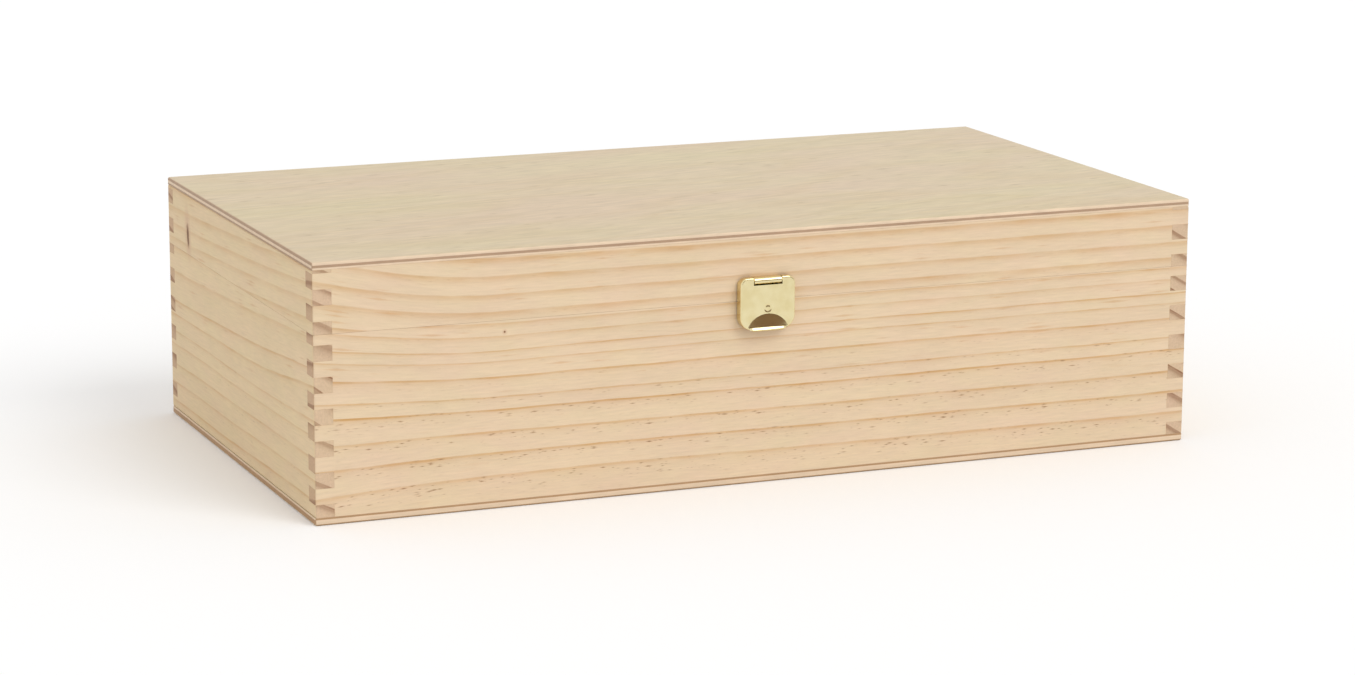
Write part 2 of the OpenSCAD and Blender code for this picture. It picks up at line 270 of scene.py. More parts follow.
lamp_data = bpy.data.lights.new("soft_lamp", "SUN")
lamp_data.energy = LAMP_LIGHT
lamp_data.angle = LAMP_SPREAD
lamp = bpy.data.objects.new("soft_lamp", lamp_data)
toward = -np.array(LAMP_FROM) / np.linalg.norm(LAMP_FROM)
side = np.cross(toward, (0, 0, 1))
side /= np.linalg.norm(side)
put(lamp, side, np.cross(side, toward), -toward)
print("sky", SKY_LIGHT, "and lamp", LAMP_LIGHT)

# %% Floor
FLOOR_GREY, FLOOR_REACH, FLOOR_DROP = 0.8, 9000.0, 0.05
floor_paint, tree, shader = new_material("matt_white_floor_paint", roughness=1.0, specular=0.0)
shade = node(tree, "ValToRGB", (seen_directly(tree),), stops=[(0.0, FLOOR_GREY), (1.0, 1.0)])
tree.links.new(shade.outputs["Color"], shader.inputs["Base Color"])
corners = np.array([(-1, -1, 0), (1, -1, 0), (1, 1, 0), (-1, 1, 0)]) * FLOOR_REACH - (0, 0, FLOOR_DROP)
floor = mesh_piece("floor", corners, [(0, 1, 2, 3)])
floor.data.materials.append(floor_paint)
print(f"floor {2 * FLOOR_REACH * MM:.0f} m wide")

# %% Dark card, seen only by reflections
CARD_FROM, CARD_TO = 2.0, 47.0                   # bearings of its two ends, in degrees
CARD_DISTANCE, CARD_HEIGHT = 750.0, 235.0
ends = np.radians([CARD_FROM, CARD_TO])
card_x, card_y = CARD_DISTANCE * np.sin(ends), -half_depth - CARD_DISTANCE * np.cos(ends)
foot = np.column_stack([card_x, card_y, [0.0, 0.0]])
card = mesh_piece("dark_card", np.vstack([foot, foot[::-1] + (0, 0, CARD_HEIGHT)]), [(0, 1, 2, 3)])
card_felt, tree, shader = new_material("dark_brown_felt_card", roughness=1.0, specular=0.0)
shader.inputs["Base Color"].default_value = srgb("907660")
card.data.materials.append(card_felt)
for rays in ("camera", "diffuse", "shadow", "transmission"):
    setattr(card, "visible_" + rays, False)
print(f"card {CARD_HEIGHT:.0f} mm high, {CARD_DISTANCE:.0f} mm before the box")

# %% [markdown]
# ## Pine, as rings in a solid
# A sawn pine board shows lines where it cuts through the tree's rings.  Within each ring the wood
# goes from pale spring wood to tan summer wood and then stops short at the winter edge.  A wave
# texture would give even stripes; real rings have uneven widths, so a curve turns the height on
# the board into a ring number, and its whole part and fraction give each ring its own strength and
# its slope of colour.  The pattern is solid, so faces, edges and finger ends agree at each corner.


# %% Grain space of a board
def in_millimetres(tree):
    """Place on the piece in millimetres, and the way its surface faces."""
    place = node(tree, "TexCoord")
    spot = node(tree, "VectorMath.SCALE", {0: place.outputs["Object"], "Scale": 1 / MM})
    return spot, place.outputs["Normal"]


def grain_space(tree, grain):
    """Distances in millimetres: along the grain, across it in the board's depth, and height in
    the box before the saw cut it.  The lid's wood counts the lost saw cut, so that the lines run on
    from base to lid as they did in the tree.  The last output is 1 on end grain, where the
    surface looks along the grain."""
    spot, facing = (node(tree, "SeparateXYZ", (vector,)) for vector in in_millimetres(tree))
    across, half = ("Y", half_depth) if grain == "X" else ("X", half_width)
    depth = node(tree, "Math.ABSOLUTE", (spot.outputs[across],))
    depth = node(tree, "Math.SUBTRACT", (half, depth))
    on_lid = node(tree, "Math.GREATER_THAN", (spot.outputs["Z"], seam_height))
    height = node(tree, "Math.MULTIPLY_ADD", (on_lid, saw_loss, spot.outputs["Z"]))
    end = node(tree, "Math.ABSOLUTE", (facing.outputs[grain],))
    end = node(tree, "MapRange", (end, 0.55, 0.85))
    return spot.outputs[grain], depth, height, end


def patches(tree, spot, sizes, seed, detail, roughness=0.5):
    """Soft patches with these sizes in millimetres along the three axes: the place divided by the
    sizes goes into a noise, whose fourth coordinate, the seed, picks the pattern.  Most of its
    values lie between 0.3 and 0.7, and a MapRange then spreads them."""
    spot = node(tree, "VectorMath.DIVIDE", (spot, sizes))
    return node(tree, "TexNoise", {"Vector": spot, "W": seed, "Scale": 1.0, "Detail": detail,
                                   "Roughness": roughness}, noise_dimensions="4D")


print("grain space ready")

# %% Height of the rings on each board
FAN_LENGTH, FAN_SWELL, FAN_LINE = 75.0, 0.19, 30.0
CLIMB_LOW, CLIMB_HIGH, CLIMB_CURVE = 3.0, 10.5, 1.3
CLIMB_FROM, CLIMB_TO = 36.0, 56.0


def level_rings(tree, along, height):
    """Rings that run straight along the board."""
    return height


def fanned_rings(tree, along, height):
    """Front board: near its left end the rings swell away from each other around one low line,
    by the square of the nearness to that end."""
    near = node(tree, "MapRange", (along, -half_width, FAN_LENGTH - half_width, 1.0, 0.0))
    near = node(tree, "Math.POWER", (near, 2.0))
    swell = node(tree, "Math.MULTIPLY_ADD", (near, FAN_SWELL, 1.0))
    rise = node(tree, "Math.SUBTRACT", (height, FAN_LINE))
    rise = node(tree, "Math.DIVIDE", (rise, swell))
    return node(tree, "Math.ADD", (rise, FAN_LINE))


def climbing_rings(tree, along, height):
    """Left board: the rings climb towards the front, the upper ones more than the lower ones."""
    near = node(tree, "MapRange", (along, half_depth, -half_depth))
    near = node(tree, "Math.POWER", (near, CLIMB_CURVE))
    climb = node(tree, "MapRange", (height, CLIMB_FROM, CLIMB_TO, -CLIMB_LOW, -CLIMB_HIGH),
                 interpolation_type="SMOOTHSTEP")
    return node(tree, "Math.MULTIPLY_ADD", (near, climb, height))


print(f"the front board's rings fan out over {FAN_LENGTH:.0f} mm")

# %% The ring pattern
CURVE_HEIGHT = 130.0             # the curve through the ring edges spans this height
LONG_WAVE, SHIVER = 3.2, 0.55    # how far the two noises shift a ring, in millimetres
BROAD_FROM, BROAD_TO = 56.0, 80.0
THIN_SUMMER = [(0.0, 0.0), (0.4, 0.02), (0.7, 0.1), (0.85, 0.3), (0.925, 0.95), (0.96, 1.0),
               (0.985, 0.8), (1.0, 0.0)]
BROAD_SUMMER = [(0.0, 0.0), (0.42, 0.03), (0.62, 0.2), (0.76, 0.56), (0.87, 0.78), (0.95, 0.72),
                (1.0, 0.0)]


def ring_pattern(tree, spot, depth, height, rings, tilt, seed):
    """Fraction of the ring, and strength of its summer wood, from 0 to a little over 1.  The height
    is warped by two noises, a long wave of some millimetres and a short shiver, and leans by tilt
    for each millimetre of depth.  A curve through rings, the heights of the ring edges, gives the
    ring number; its fraction, through a ramp that rises slowly and ends sharply, gives the
    strength.  Low on the board, near the heart of the tree, the summer wood is a thin line; higher
    up it is a broad soft band."""
    long_wave = patches(tree, spot, (120, 60, 45), seed, 1.0)
    shiver = patches(tree, spot, (11, 6, 4), seed, 2.0)
    level = height
    for wave, swing in ((long_wave, LONG_WAVE), (shiver, SHIVER)):
        wave = node(tree, "Math.SUBTRACT", (wave, 0.5))
        level = node(tree, "Math.MULTIPLY_ADD", (wave, swing, level))
    level = node(tree, "Math.MULTIPLY_ADD", (depth, tilt, level))
    share = node(tree, "Math.DIVIDE", (level, CURVE_HEIGHT))
    stops = [(edge / CURVE_HEIGHT, number / len(rings)) for number, edge in enumerate(rings)]
    ring = node(tree, "FloatCurve", {"Value": share}, stops=stops)
    ring = node(tree, "Math.MULTIPLY", (ring, float(len(rings))))
    number = node(tree, "Math.FLOOR", (ring,))
    part = node(tree, "Math.FRACT", (ring,))
    thin = node(tree, "ValToRGB", (part,), stops=THIN_SUMMER)
    broad = node(tree, "ValToRGB", (part,), stops=BROAD_SUMMER)
    breadth = node(tree, "MapRange", (level, BROAD_FROM, BROAD_TO, 0.12, 0.9))
    summer = node(tree, "Mix", {"Factor": breadth, 2: thin, 3: broad}, data_type="FLOAT")
    lot = node(tree, "Math.ADD", (number, seed))
    lot = node(tree, "TexWhiteNoise", {"W": lot}, noise_dimensions="1D")
    bold = node(tree, "MapRange", (lot, 0.0, 1.0, 0.6, 1.0))
    fading = node(tree, "MapRange", (patches(tree, spot, (26, 30, 7), seed + 3.0, 2.0), 0.3, 0.7, 0.4, 1.2))
    bold = node(tree, "Math.MULTIPLY", (bold, fading))
    return part, node(tree, "Math.MULTIPLY", (summer, bold))


print("a ring goes from spring to summer wood in", len(THIN_SUMMER), "steps")

# %% [markdown]
# ## Marks in the wood
# Resin canals run along the grain.  Where the saw cut them open they leave brown dashes, and where
# they lie just under the surface a faint orange streak.  Both are hearts of stretched cells, which
# have the spindle shape of the real marks.  A small knot is an oval around the stub of a branch.

# %% Colours of pine
SPRING, SPRING_YELLOW, SUMMER = "e7cfb1", "e8d0ab", "cb9858"
END_PALE, END_BROWN, END_DARK = "d8bc9f", "cdac8c", "84522f"
CANAL, STREAK, KNOT_HEART, KNOT_HALO = "9c7453", "cd9862", "7f5a3c", "cfa488"
ROSY, GREENISH = "fffbfb", "fdfff8"    # two near-white tints that whole patches lean to
print("spring wood", SPRING, "and summer wood", SUMMER)


# %% Resin marks
def dashes(tree, spot, sizes, seed, share):
    """Spindle-shaped marks: the hearts of cells of these sizes in millimetres, in a share of the
    cells.  Distances that are added up axis by axis give each heart its pointed ends."""
    spot = node(tree, "VectorMath.DIVIDE", (spot, sizes))
    cell = node(tree, "TexVoronoi", {"Vector": spot, "W": seed, "Scale": 1.0},
                voronoi_dimensions="4D", distance="MANHATTAN")
    heart = node(tree, "MapRange", (cell.outputs["Distance"], 0.3, 0.62, 1.0, 0.0))
    lot = node(tree, "SeparateXYZ", (cell.outputs["Color"],))
    chosen = node(tree, "MapRange", (lot.outputs[0], 1.0 - share, 1.0 - share / 2))
    return node(tree, "Math.MULTIPLY", (heart, chosen))


CANAL_CROWD = [(0.0, 0.06), (0.42, 0.1), (0.62, 0.7), (0.8, 0.85), (0.93, 0.85), (1.0, 0.4)]


def canal_marks(tree, spot, grown, part, seed, strength):
    """Brown dashes of 1 to 3 mm by 0.4 mm, where resin canals were cut open.  They crowd just below
    the ring edges of the lower half of the board and are rare above."""
    mark = dashes(tree, spot, (4.0, 2.0, 0.62), seed, 1.0)
    late = node(tree, "ValToRGB", (part,), stops=CANAL_CROWD)
    low = node(tree, "MapRange", (grown, 34.0, 52.0, 1.0, 0.14))
    for share in (late, low, strength):
        mark = node(tree, "Math.MULTIPLY", (mark, share))
    return mark


def resin_streaks(tree, spot, grown, seed):
    """Faint orange streaks, 5 to 15 mm long, in the upper half."""
    mark = dashes(tree, spot, (17.0, 4.0, 1.3), seed + 1.7, 0.5)
    high = node(tree, "MapRange", (grown, 38.0, 52.0, 0.1, 0.36))
    return node(tree, "Math.MULTIPLY", (mark, high))


print("resin marks ready")

# %% A knot
KNOT_DEPTH = 9.0     # a knot fades out this far into the board


def knot(tree, colour, along, depth, grown, where):
    """A small dead knot: an oval of dark brown that fades through a rosy ring into the wood.
    where is its place along the grain, its uncut height, its two half sizes and its lean."""
    place, level, wide, tall, lean = where
    aside = node(tree, "Math.SUBTRACT", (along, place))
    above = node(tree, "Math.SUBTRACT", (grown, level))
    aside = node(tree, "Math.MULTIPLY_ADD", (above, lean, aside))
    inward = node(tree, "Math.DIVIDE", (depth, KNOT_DEPTH))
    oval = node(tree, "CombineXYZ", (aside, above, 0.0))
    oval = node(tree, "VectorMath.DIVIDE", (oval, (wide, tall, 1.0)))
    away = node(tree, "VectorMath.LENGTH", (oval,))
    away = node(tree, "Math.ADD", (away.outputs["Value"], inward))
    ragged = patches(tree, node(tree, "CombineXYZ", (along, depth, grown)), (1.6, 2.0, 2.6), 4.0, 3.0)
    away = node(tree, "Math.MULTIPLY_ADD", (ragged, 0.9, away))
    halo = node(tree, "MapRange", (away, 1.2, 3.3, 0.5, 0.0))
    heart = node(tree, "MapRange", (away, 0.95, 1.55, 1.0, 0.0))
    return stained(tree, colour, (halo, KNOT_HALO), (heart, KNOT_HEART))


print("a knot reaches", KNOT_DEPTH, "mm into the board")

# %% [markdown]
# ## Sanded softwood boards
# Pine feels like silk where it has been sanded: no gloss, only fibres.  The colour comes from the
# rings, a little cloudiness and fine fibres, and from the resin marks.  End grain drinks light, so
# the finger ends are greyer and their rings are far bolder.  Real fibres are 3 mm long and thinner
# than a hair, too fine to show, so they are drawn as strands of 11 by 0.9 mm, and the open cells of
# end grain as spots of 0.8 mm.

# %% Pine finish
FRAY = 0.8           # the fibres shift each bit of a resin mark by up to this many millimetres
END_SUMMER = [(0.0, 0.0), (0.5, 0.03), (0.68, 0.3), (0.82, 0.85), (0.93, 0.8), (1.0, 0.0)]


def end_rings(tree, part, summer, contrast):
    """Strength of the summer wood on end grain, where every ring shows as a broad dark band."""
    summer = node(tree, "Math.POWER", (summer, 1.1))
    band = node(tree, "ValToRGB", (part,), stops=END_SUMMER)
    band = node(tree, "Math.MULTIPLY", (band, 0.9 * contrast))
    return node(tree, "Math.MAXIMUM", (summer, band))


def wood_surface(tree, shader, colour, light, relief, strength, depth):
    """Give the wood its colour, lighter or darker by light, and a relief of this depth in
    millimetres."""
    colour = node(tree, "VectorMath.SCALE", {0: colour, "Scale": light})
    tree.links.new(colour.outputs[0], shader.inputs["Base Color"])
    bump = node(tree, "Bump", {"Height": relief, "Strength": strength, "Distance": depth * MM})
    tree.links.new(bump.outputs[0], shader.inputs["Normal"])


def pine(name, grain, rings, seed, tilt, bend, spring, end_pale, canals=1.0, contrast=1.0, knots=()):
    """Sanded pine whose grain runs along X or Y.  tilt and bend lay the rings, spring and end_pale
    are its pale colours on the face and on end grain, and canals and contrast say how strong its
    resin marks and its rings are."""
    material, tree, shader = new_material(name, roughness=0.62, specular=0.28)
    along, depth, grown, end = grain_space(tree, grain)
    height = bend(tree, along, grown)
    spot = node(tree, "CombineXYZ", (along, depth, height))
    part, summer = ring_pattern(tree, spot, depth, height, rings, tilt, seed)
    shown = node(tree, "Math.MULTIPLY", (summer, contrast))
    face = stained(tree, spring, (shown, SUMMER))
    cut = stained(tree, end_pale, (end_rings(tree, part, summer, contrast), END_DARK))
    colour = stained(tree, face, (end, cut))

    fibre = patches(tree, spot, (11, 0.9, 0.8), seed, 4.0, 0.68)
    frayed = node(tree, "Math.MULTIPLY_ADD", (fibre, FRAY, height))
    frayed = node(tree, "CombineXYZ", (along, depth, frayed))
    on_face = node(tree, "Math.SUBTRACT", (1.0, end))
    canal = canal_marks(tree, frayed, grown, part, seed, canals)
    streak = resin_streaks(tree, frayed, grown, seed)
    for mark, tint in ((canal, CANAL), (streak, STREAK)):
        mark = node(tree, "Math.MULTIPLY", (mark, on_face))
        colour = stained(tree, colour, (mark, tint))
    for where in knots:
        colour = knot(tree, colour, along, depth, grown, where)
    warmth = node(tree, "MapRange", (patches(tree, spot, (24, 20, 9), seed + 5.0, 2.0), 0.25, 0.75))
    tint = stained(tree, ROSY, (warmth, GREENISH))
    colour = node(tree, "VectorMath.MULTIPLY", (colour, tint))

    open_cells = patches(tree, spot, (0.8, 0.8, 0.8), seed, 2.0)
    fine = node(tree, "Mix", {"Factor": end, 2: fibre, 3: open_cells}, data_type="FLOAT")
    cloud = patches(tree, spot, (60, 40, 12), seed + 7.0, 3.0)
    light = node(tree, "MapRange", (cloud, 0.3, 0.7, 0.965, 1.03))
    grit = node(tree, "MapRange", (fine, 0.25, 0.75, 0.92, 1.08))
    light = node(tree, "Math.MULTIPLY", (light, grit))
    relief = node(tree, "Math.MULTIPLY_ADD", (summer, 0.6, fine))
    wood_surface(tree, shader, colour, light, relief, strength=0.12, depth=0.1)
    return material


print("pine finish ready")

# %% Pine for the four sides
# Heights of the ring edges on the outer face of each board, where its rings run level, in
# millimetres above the underside of the box before the saw cut it.
FRONT_RINGS = (-7, 1.5, 13, 21.5, 29.6, 38.2, 43.2, 51, 57, 61, 66.5, 71.3, 78.9, 85.3, 92.2, 99, 107, 116)
LEFT_RINGS = (-1, 6.7, 14.6, 22.6, 30.5, 36, 43, 49, 61, 71, 78, 84, 91, 99, 107, 117)
BACK_RINGS = (-3, 4, 13, 19, 28, 41, 46, 50.5, 59, 68.5, 76, 83, 92, 97, 105, 115)
RIGHT_RINGS = (-5, 3, 9, 16.5, 27, 33, 44, 50, 59, 65, 70.5, 79, 86, 94, 103, 113)
FRONT_SPECK = (-108.0, 67.5, 0.45, 0.5, 0.0)     # place, height, two half sizes and lean
LEFT_KNOT = (69.0, 83.0, 1.9, 5.2, -0.12)
pines = {
    "front": pine("sanded_pine_front", "X", FRONT_RINGS, seed=11.0, tilt=0.1, bend=fanned_rings,
                  spring=SPRING, end_pale=END_BROWN, contrast=0.8, knots=[FRONT_SPECK]),
    "back": pine("sanded_pine_back", "X", BACK_RINGS, seed=23.0, tilt=0.25, bend=level_rings,
                 spring=SPRING, end_pale=END_BROWN, contrast=0.8),
    "left": pine("sanded_pine_left", "Y", LEFT_RINGS, seed=37.0, tilt=0.5, bend=climbing_rings,
                 spring=SPRING_YELLOW, end_pale=END_PALE, canals=0.25, contrast=0.6, knots=[LEFT_KNOT]),
    "right": pine("sanded_pine_right", "Y", RIGHT_RINGS, seed=51.0, tilt=-0.6, bend=level_rings,
                  spring=SPRING_YELLOW, end_pale=END_PALE, contrast=0.75),
}
print("pine for", ", ".join(pines))

# %% [markdown]
# ## Finger-jointed boards
# Front, back and side boards lock together with square fingers.  All were cut before the saw went
# round, so the lid's fingers follow the same rule, lowered by the wood that was lost.  A board is
# its outline given a thickness; the sanding that blunts every edge is a bevel, wide on the outer
# corners of the box and barely there elsewhere.  Inner corners get none, so the joints stay tight.

# %% Outline of a board
MOST_FINGERS = 20
SLIVER = 0.4         # a finger thinner than this is left on its neighbour


def finger_changes(low, high, lowered):
    """Heights between low and high at which fingers and gaps change over.  lowered is how far the
    wood came down when the saw took its cut."""
    first = panel_top + FIRST_FINGER - lowered
    steps = first + FINGER * np.arange(0, MOST_FINGERS)
    return steps[(steps > low + SLIVER) & (steps < high - SLIVER)]


def board_outline(length, low, high, lowered, has_odd):
    """Closed outline, anticlockwise: up the right end in square steps, and down the left end.
    has_odd is true for a board that owns the odd fingers, counted from the narrow lowest one as
    number 0."""
    levels = np.concatenate([[low], finger_changes(low, high, lowered), [high]])
    middles = (levels[:-1] + levels[1:]) / 2 + lowered
    odd = np.floor((middles - panel_top - FIRST_FINGER) / FINGER) % 2 == 0
    reach = np.repeat(length / 2 - np.where(odd == has_odd, 0, wall), 2)
    heights = np.repeat(levels, 2)[1:-1]
    right_end = np.column_stack([reach, heights])
    return np.vstack([right_end, right_end[::-1] * (-1, 1)])


def blunt(piece, weights, width):
    """Bevel that is width millimetres wide on an edge of weight 1."""
    attribute = piece.data.attributes.new("bevel_weight_edge", "FLOAT", "EDGE")
    attribute.data.foreach_set("value", weights.astype(np.float32))
    bevel = piece.modifiers.new("sanded edges", "BEVEL")
    bevel.limit_method = "WEIGHT"
    bevel.width = width * MM
    bevel.segments = 3
    bevel.harden_normals = True


def edge_points(piece):
    """Both ends of every edge, in millimetres: an array of edges by 2 by 3."""
    count = len(piece.data.edges)
    ends = np.empty(count * 2, np.int32)
    piece.data.edges.foreach_get("vertices", ends)
    points = np.empty(len(piece.data.vertices) * 3)
    piece.data.vertices.foreach_get("co", points)
    return points.reshape(-1, 3)[ends].reshape(count, 2, 3) / MM


print("fingers of", FINGER, "mm")


# %% Sand the edges of a board
def edge_weights(ends, outline, out, run):
    """How far each edge is blunted, as a share of the arris: fully where it lies on an outer corner
    of the box, hardly where the saw cut, not at all in the inner corners of the fingers."""
    corner = (np.abs(np.abs(ends[:, :, :2]) - (half_width, half_depth)) < NEAR).all(axis=(1, 2))
    through = np.abs((ends[:, 1] - ends[:, 0]) @ out) > wall / 2
    before = outline - np.roll(outline, 1, 0)
    beyond = np.roll(outline, -1, 0) - outline
    hollow = outline[before[:, 0] * beyond[:, 1] - before[:, 1] * beyond[:, 0] < 0]
    at = np.column_stack([ends[:, 0] @ run, ends[:, 0, 2]])
    inner = through & (np.abs(at[:, None] - hollow[None]).max(2).min(1) < NEAR)
    sawn = (np.abs(ends[:, :, 2] - seam_height) < 2 * HAIRLINE).all(1)
    weights = np.where(corner, 1.0, np.where(inner, 0.0, SANDED / ARRIS))
    return np.where(sawn, HAIRLINE / ARRIS, weights)


# %% Cut and place the eight boards
def board(node_name, facing, low, high, lowered):
    """A board looks outward along facing; its outline is given the wall's thickness."""
    lengthwise = abs(facing[1]) > 0
    length, shell = (2 * half_width, half_depth) if lengthwise else (2 * half_depth, half_width)
    outline = board_outline(length, low, high, lowered, lengthwise)
    out = np.array(facing, float)
    run = np.cross((0, 0, 1), out)
    flat = outline[:, :1] * run + outline[:, 1:] * (0, 0, 1)
    points = np.vstack([flat + out * shell, flat + out * (shell - wall)])
    count = len(outline)
    around = np.arange(count)
    after = (around + 1) % count
    sides = np.column_stack([around, around + count, after + count, after])
    faces = [list(around), list(around[::-1] + count)] + sides.tolist()
    piece = mesh_piece(node_name + "_wood", points, faces)
    blunt(piece, edge_weights(edge_points(piece), outline, out, run), ARRIS)
    dress(piece, node_name, pines[node_name.split("_")[1]])


SIDES = {"front": (0, -1, 0), "back": (0, 1, 0), "left": (-1, 0, 0), "right": (1, 0, 0)}
for side_name, facing in SIDES.items():
    board(f"base_{side_name}_board", facing, panel_top, seam_height - HAIRLINE, 0.0)
    board(f"lid_{side_name}_board", facing, seam_height + HAIRLINE, lid_top, saw_loss)

# %% [markdown]
# ## Birch plywood panels
# Top and bottom are plywood of three veneers, with the middle one glued across the other two.  An
# edge shows veneers cut along their grain as pale stripes and veneers cut across it as dark ones,
# so the stripes swap places round each corner; the pale cream of the edges is also a painted
# highlight along the rounded arris.  The top's outer veneers run along the box, a little askew, as
# the sheet wasn't laid square to the saw; the bottom was cut from its sheet the other way round, so
# its edges are dark where the top's are pale.  Birch is finer than pine, but its fibres are drawn as
# strands of 14 by 0.7 mm, because real ones wouldn't show.  The outer arris is rounded over with
# the boards, a quarter circle in section.

# %% Birch plywood finish
# The edge cream is the veneer's pale long grain, made paler still as a painted highlight on the rounded
# arris.
FACE_PALE, FACE_DARK, VENEER_EDGE_AND_HIGHLIGHT, PITH = "d7c6aa", "d3c1a1", "e6cdb0", "b29a76"
ROSY_BIRCH, GREENISH_BIRCH = "fffafb", "fdfff6"
GROWTH_LINES = 12.0
GROWTH_LINE = [(0.0, 0.2), (0.5, 0.0), (0.9, 0.8), (1.0, 0.2)]


def end_grain(tree, height, facing, core_middle, core_half, across):
    """1 where an edge cuts through a veneer's grain.  height is counted from the glued side, and
    the core is the middle veneer; across is true where the outer veneers run across the box."""
    rise = node(tree, "Math.SUBTRACT", (height, core_middle))
    rise = node(tree, "Math.ABSOLUTE", (rise,))
    core = node(tree, "Math.LESS_THAN", (rise, core_half))
    ends = [node(tree, "Math.ABSOLUTE", (facing.outputs[axis],)) for axis in "XY"]
    outer_end, core_end = reversed(ends) if across else ends
    end = node(tree, "Mix", {"Factor": core, 2: outer_end, 3: core_end}, data_type="FLOAT")
    return node(tree, "MapRange", (end, 0.4, 0.8))


def birch_plywood(name, glued, seed, core_middle, core_half, end_colour, lean=0.0, across=False):
    """Rotary-cut birch veneer: contour lines of a slow noise, stretched along the box, make the
    wide flat loops of wood that was peeled off a log.  lean turns that pattern a little, and
    across swaps the stripes at the edges alone."""
    material, tree, shader = new_material(name, roughness=0.58, specular=0.28)
    place, facing = in_millimetres(tree)
    facing = node(tree, "SeparateXYZ", (facing,))
    height = node(tree, "SeparateXYZ", (place,)).outputs["Z"]
    height = node(tree, "Math.SUBTRACT", (height, glued))
    height = node(tree, "Math.ABSOLUTE", (height,))
    end = end_grain(tree, height, facing, core_middle, core_half, across)
    # Edge faces, where the surface turns away from flat, get the edge cream: partly the veneer's pale long
    # grain, partly a painted highlight along the rounded arris.
    side = node(tree, "Math.ABSOLUTE", (facing.outputs["Z"],))
    side = node(tree, "MapRange", (side, 0.95, 0.6))

    spot = node(tree, "Mapping", {"Vector": place, "Rotation": (0, 0, -lean)})
    loops = patches(tree, spot, (290, 55, 30), seed, 1.0)
    loops = node(tree, "Math.MULTIPLY", (loops, GROWTH_LINES))
    loops = node(tree, "Math.FRACT", (loops,))
    line = node(tree, "ValToRGB", (loops,), stops=GROWTH_LINE)
    colour = stained(tree, FACE_PALE, (line, FACE_DARK))
    warmth = node(tree, "MapRange", (patches(tree, spot, (120, 50, 20), seed + 5, 2.0), 0.35, 0.65))
    tint = stained(tree, ROSY_BIRCH, (warmth, GREENISH_BIRCH))
    colour = node(tree, "VectorMath.MULTIPLY", (colour, tint))
    leaning = node(tree, "SeparateXYZ", (spot,))
    flecks = node(tree, "CombineXYZ", [leaning.outputs[axis] for axis in "XZY"])
    pith = dashes(tree, flecks, (9.0, 6.0, 2.4), seed, 0.3)
    pith = node(tree, "Math.MULTIPLY", (pith, 0.45))
    colour = stained(tree, colour, (pith, PITH), (side, VENEER_EDGE_AND_HIGHLIGHT), (end, end_colour))

    fibre = patches(tree, spot, (14, 0.7, 0.7), seed, 4.0, 0.65)
    fleck = patches(tree, spot, (13, 2.6, 2.6), seed + 2, 3.0)
    light = node(tree, "MapRange", (fleck, 0.3, 0.7, 0.935, 1.065))
    grit = node(tree, "MapRange", (fibre, 0.25, 0.75, 0.92, 1.08))
    light = node(tree, "Math.MULTIPLY", (light, grit))
    wood_surface(tree, shader, colour, light, fibre, strength=0.1, depth=0.08)
    return material


print("plywood finish ready")


# %% Panels with rounded arrises
def rounded_loop(half_x, half_y, radius, height, steps=4):
    """Rectangle with rounded corners at one height: each corner is a quarter circle."""
    angles = np.linspace(0, np.pi / 2, steps + 1)
    turns = np.concatenate([angles + quarter * np.pi / 2 for quarter in range(4)])
    signs = np.repeat([(1, 1), (-1, 1), (-1, -1), (1, -1)], steps + 1, axis=0)
    corner = signs * (half_x - radius, half_y - radius)
    rim = corner + radius * np.column_stack([np.cos(turns), np.sin(turns)])
    return np.column_stack([rim, np.full(len(rim), height)])


def stack_faces(loops, around):
    """Quads between neighbouring loops, and one face to close each end."""
    first = np.arange(around)
    after = (first + 1) % around
    rows = np.arange(loops - 1)[:, None] * around
    quads = np.stack([rows + first, rows + after, rows + around + after, rows + around + first], axis=2)
    top = (loops - 1) * around + first
    return quads.reshape(-1, 4).tolist() + [list(first[::-1]), list(top)]


LEAST_CORNER = 0.05


def panel(node_name, sign, material):
    """Slab whose outer arris is a quarter circle in section; its glued side is hardly blunted.
    sign is 1 where the outer face looks up and -1 where it looks down."""
    low, high = box_mm(node_name)
    outer, inner = (high[2], low[2]) if sign > 0 else (low[2], high[2])
    turn = np.linspace(0, np.pi / 2, 6)
    insets = np.concatenate([[SANDED, 0.0], ARRIS * (1 - np.cos(turn))])
    heights = np.concatenate([[inner, inner + sign * SANDED], outer - sign * ARRIS * (1 - np.sin(turn))])
    loops = [rounded_loop(half_width - inset, half_depth - inset, max(ARRIS - inset, LEAST_CORNER), height)
             for inset, height in zip(insets, heights)]
    loops = loops[::sign]
    piece = mesh_piece(node_name + "_wood", np.vstack(loops), stack_faces(len(loops), len(loops[0])))
    dress(piece, node_name, material)


TOP_LEAN = 0.15      # the top's grain runs this far askew, in radians
top_birch = birch_plywood("birch_plywood_top", glued=top_low[2], seed=4.0, core_middle=1.3, core_half=0.5,
                          end_colour="b4957a", lean=TOP_LEAN)
bottom_birch = birch_plywood("birch_plywood_bottom", glued=panel_top, seed=9.0, core_middle=1.55,
                             core_half=0.85, end_colour="b6916c", across=True)
panel("top_panel", 1, top_birch)
panel("bottom_panel", -1, bottom_birch)

# %% [markdown]
# ## Bright brass-plated sheet
# The catch and the hinges are stamped from thin steel, plated with brass and tumbled until they
# shine.  A metal's look is what it mirrors, so the finish is nearly plain: the pale yellow of the
# plating, a low roughness with soft patches where the tumbling was uneven, and a trace of waviness
# that makes the reflections swim as they do in pressed sheet.

# %% Plated finishes
PATCH, WAVE, WAVE_DEPTH = 3.5, 2.2, 0.02     # sizes in millimetres of the patches and of the waviness


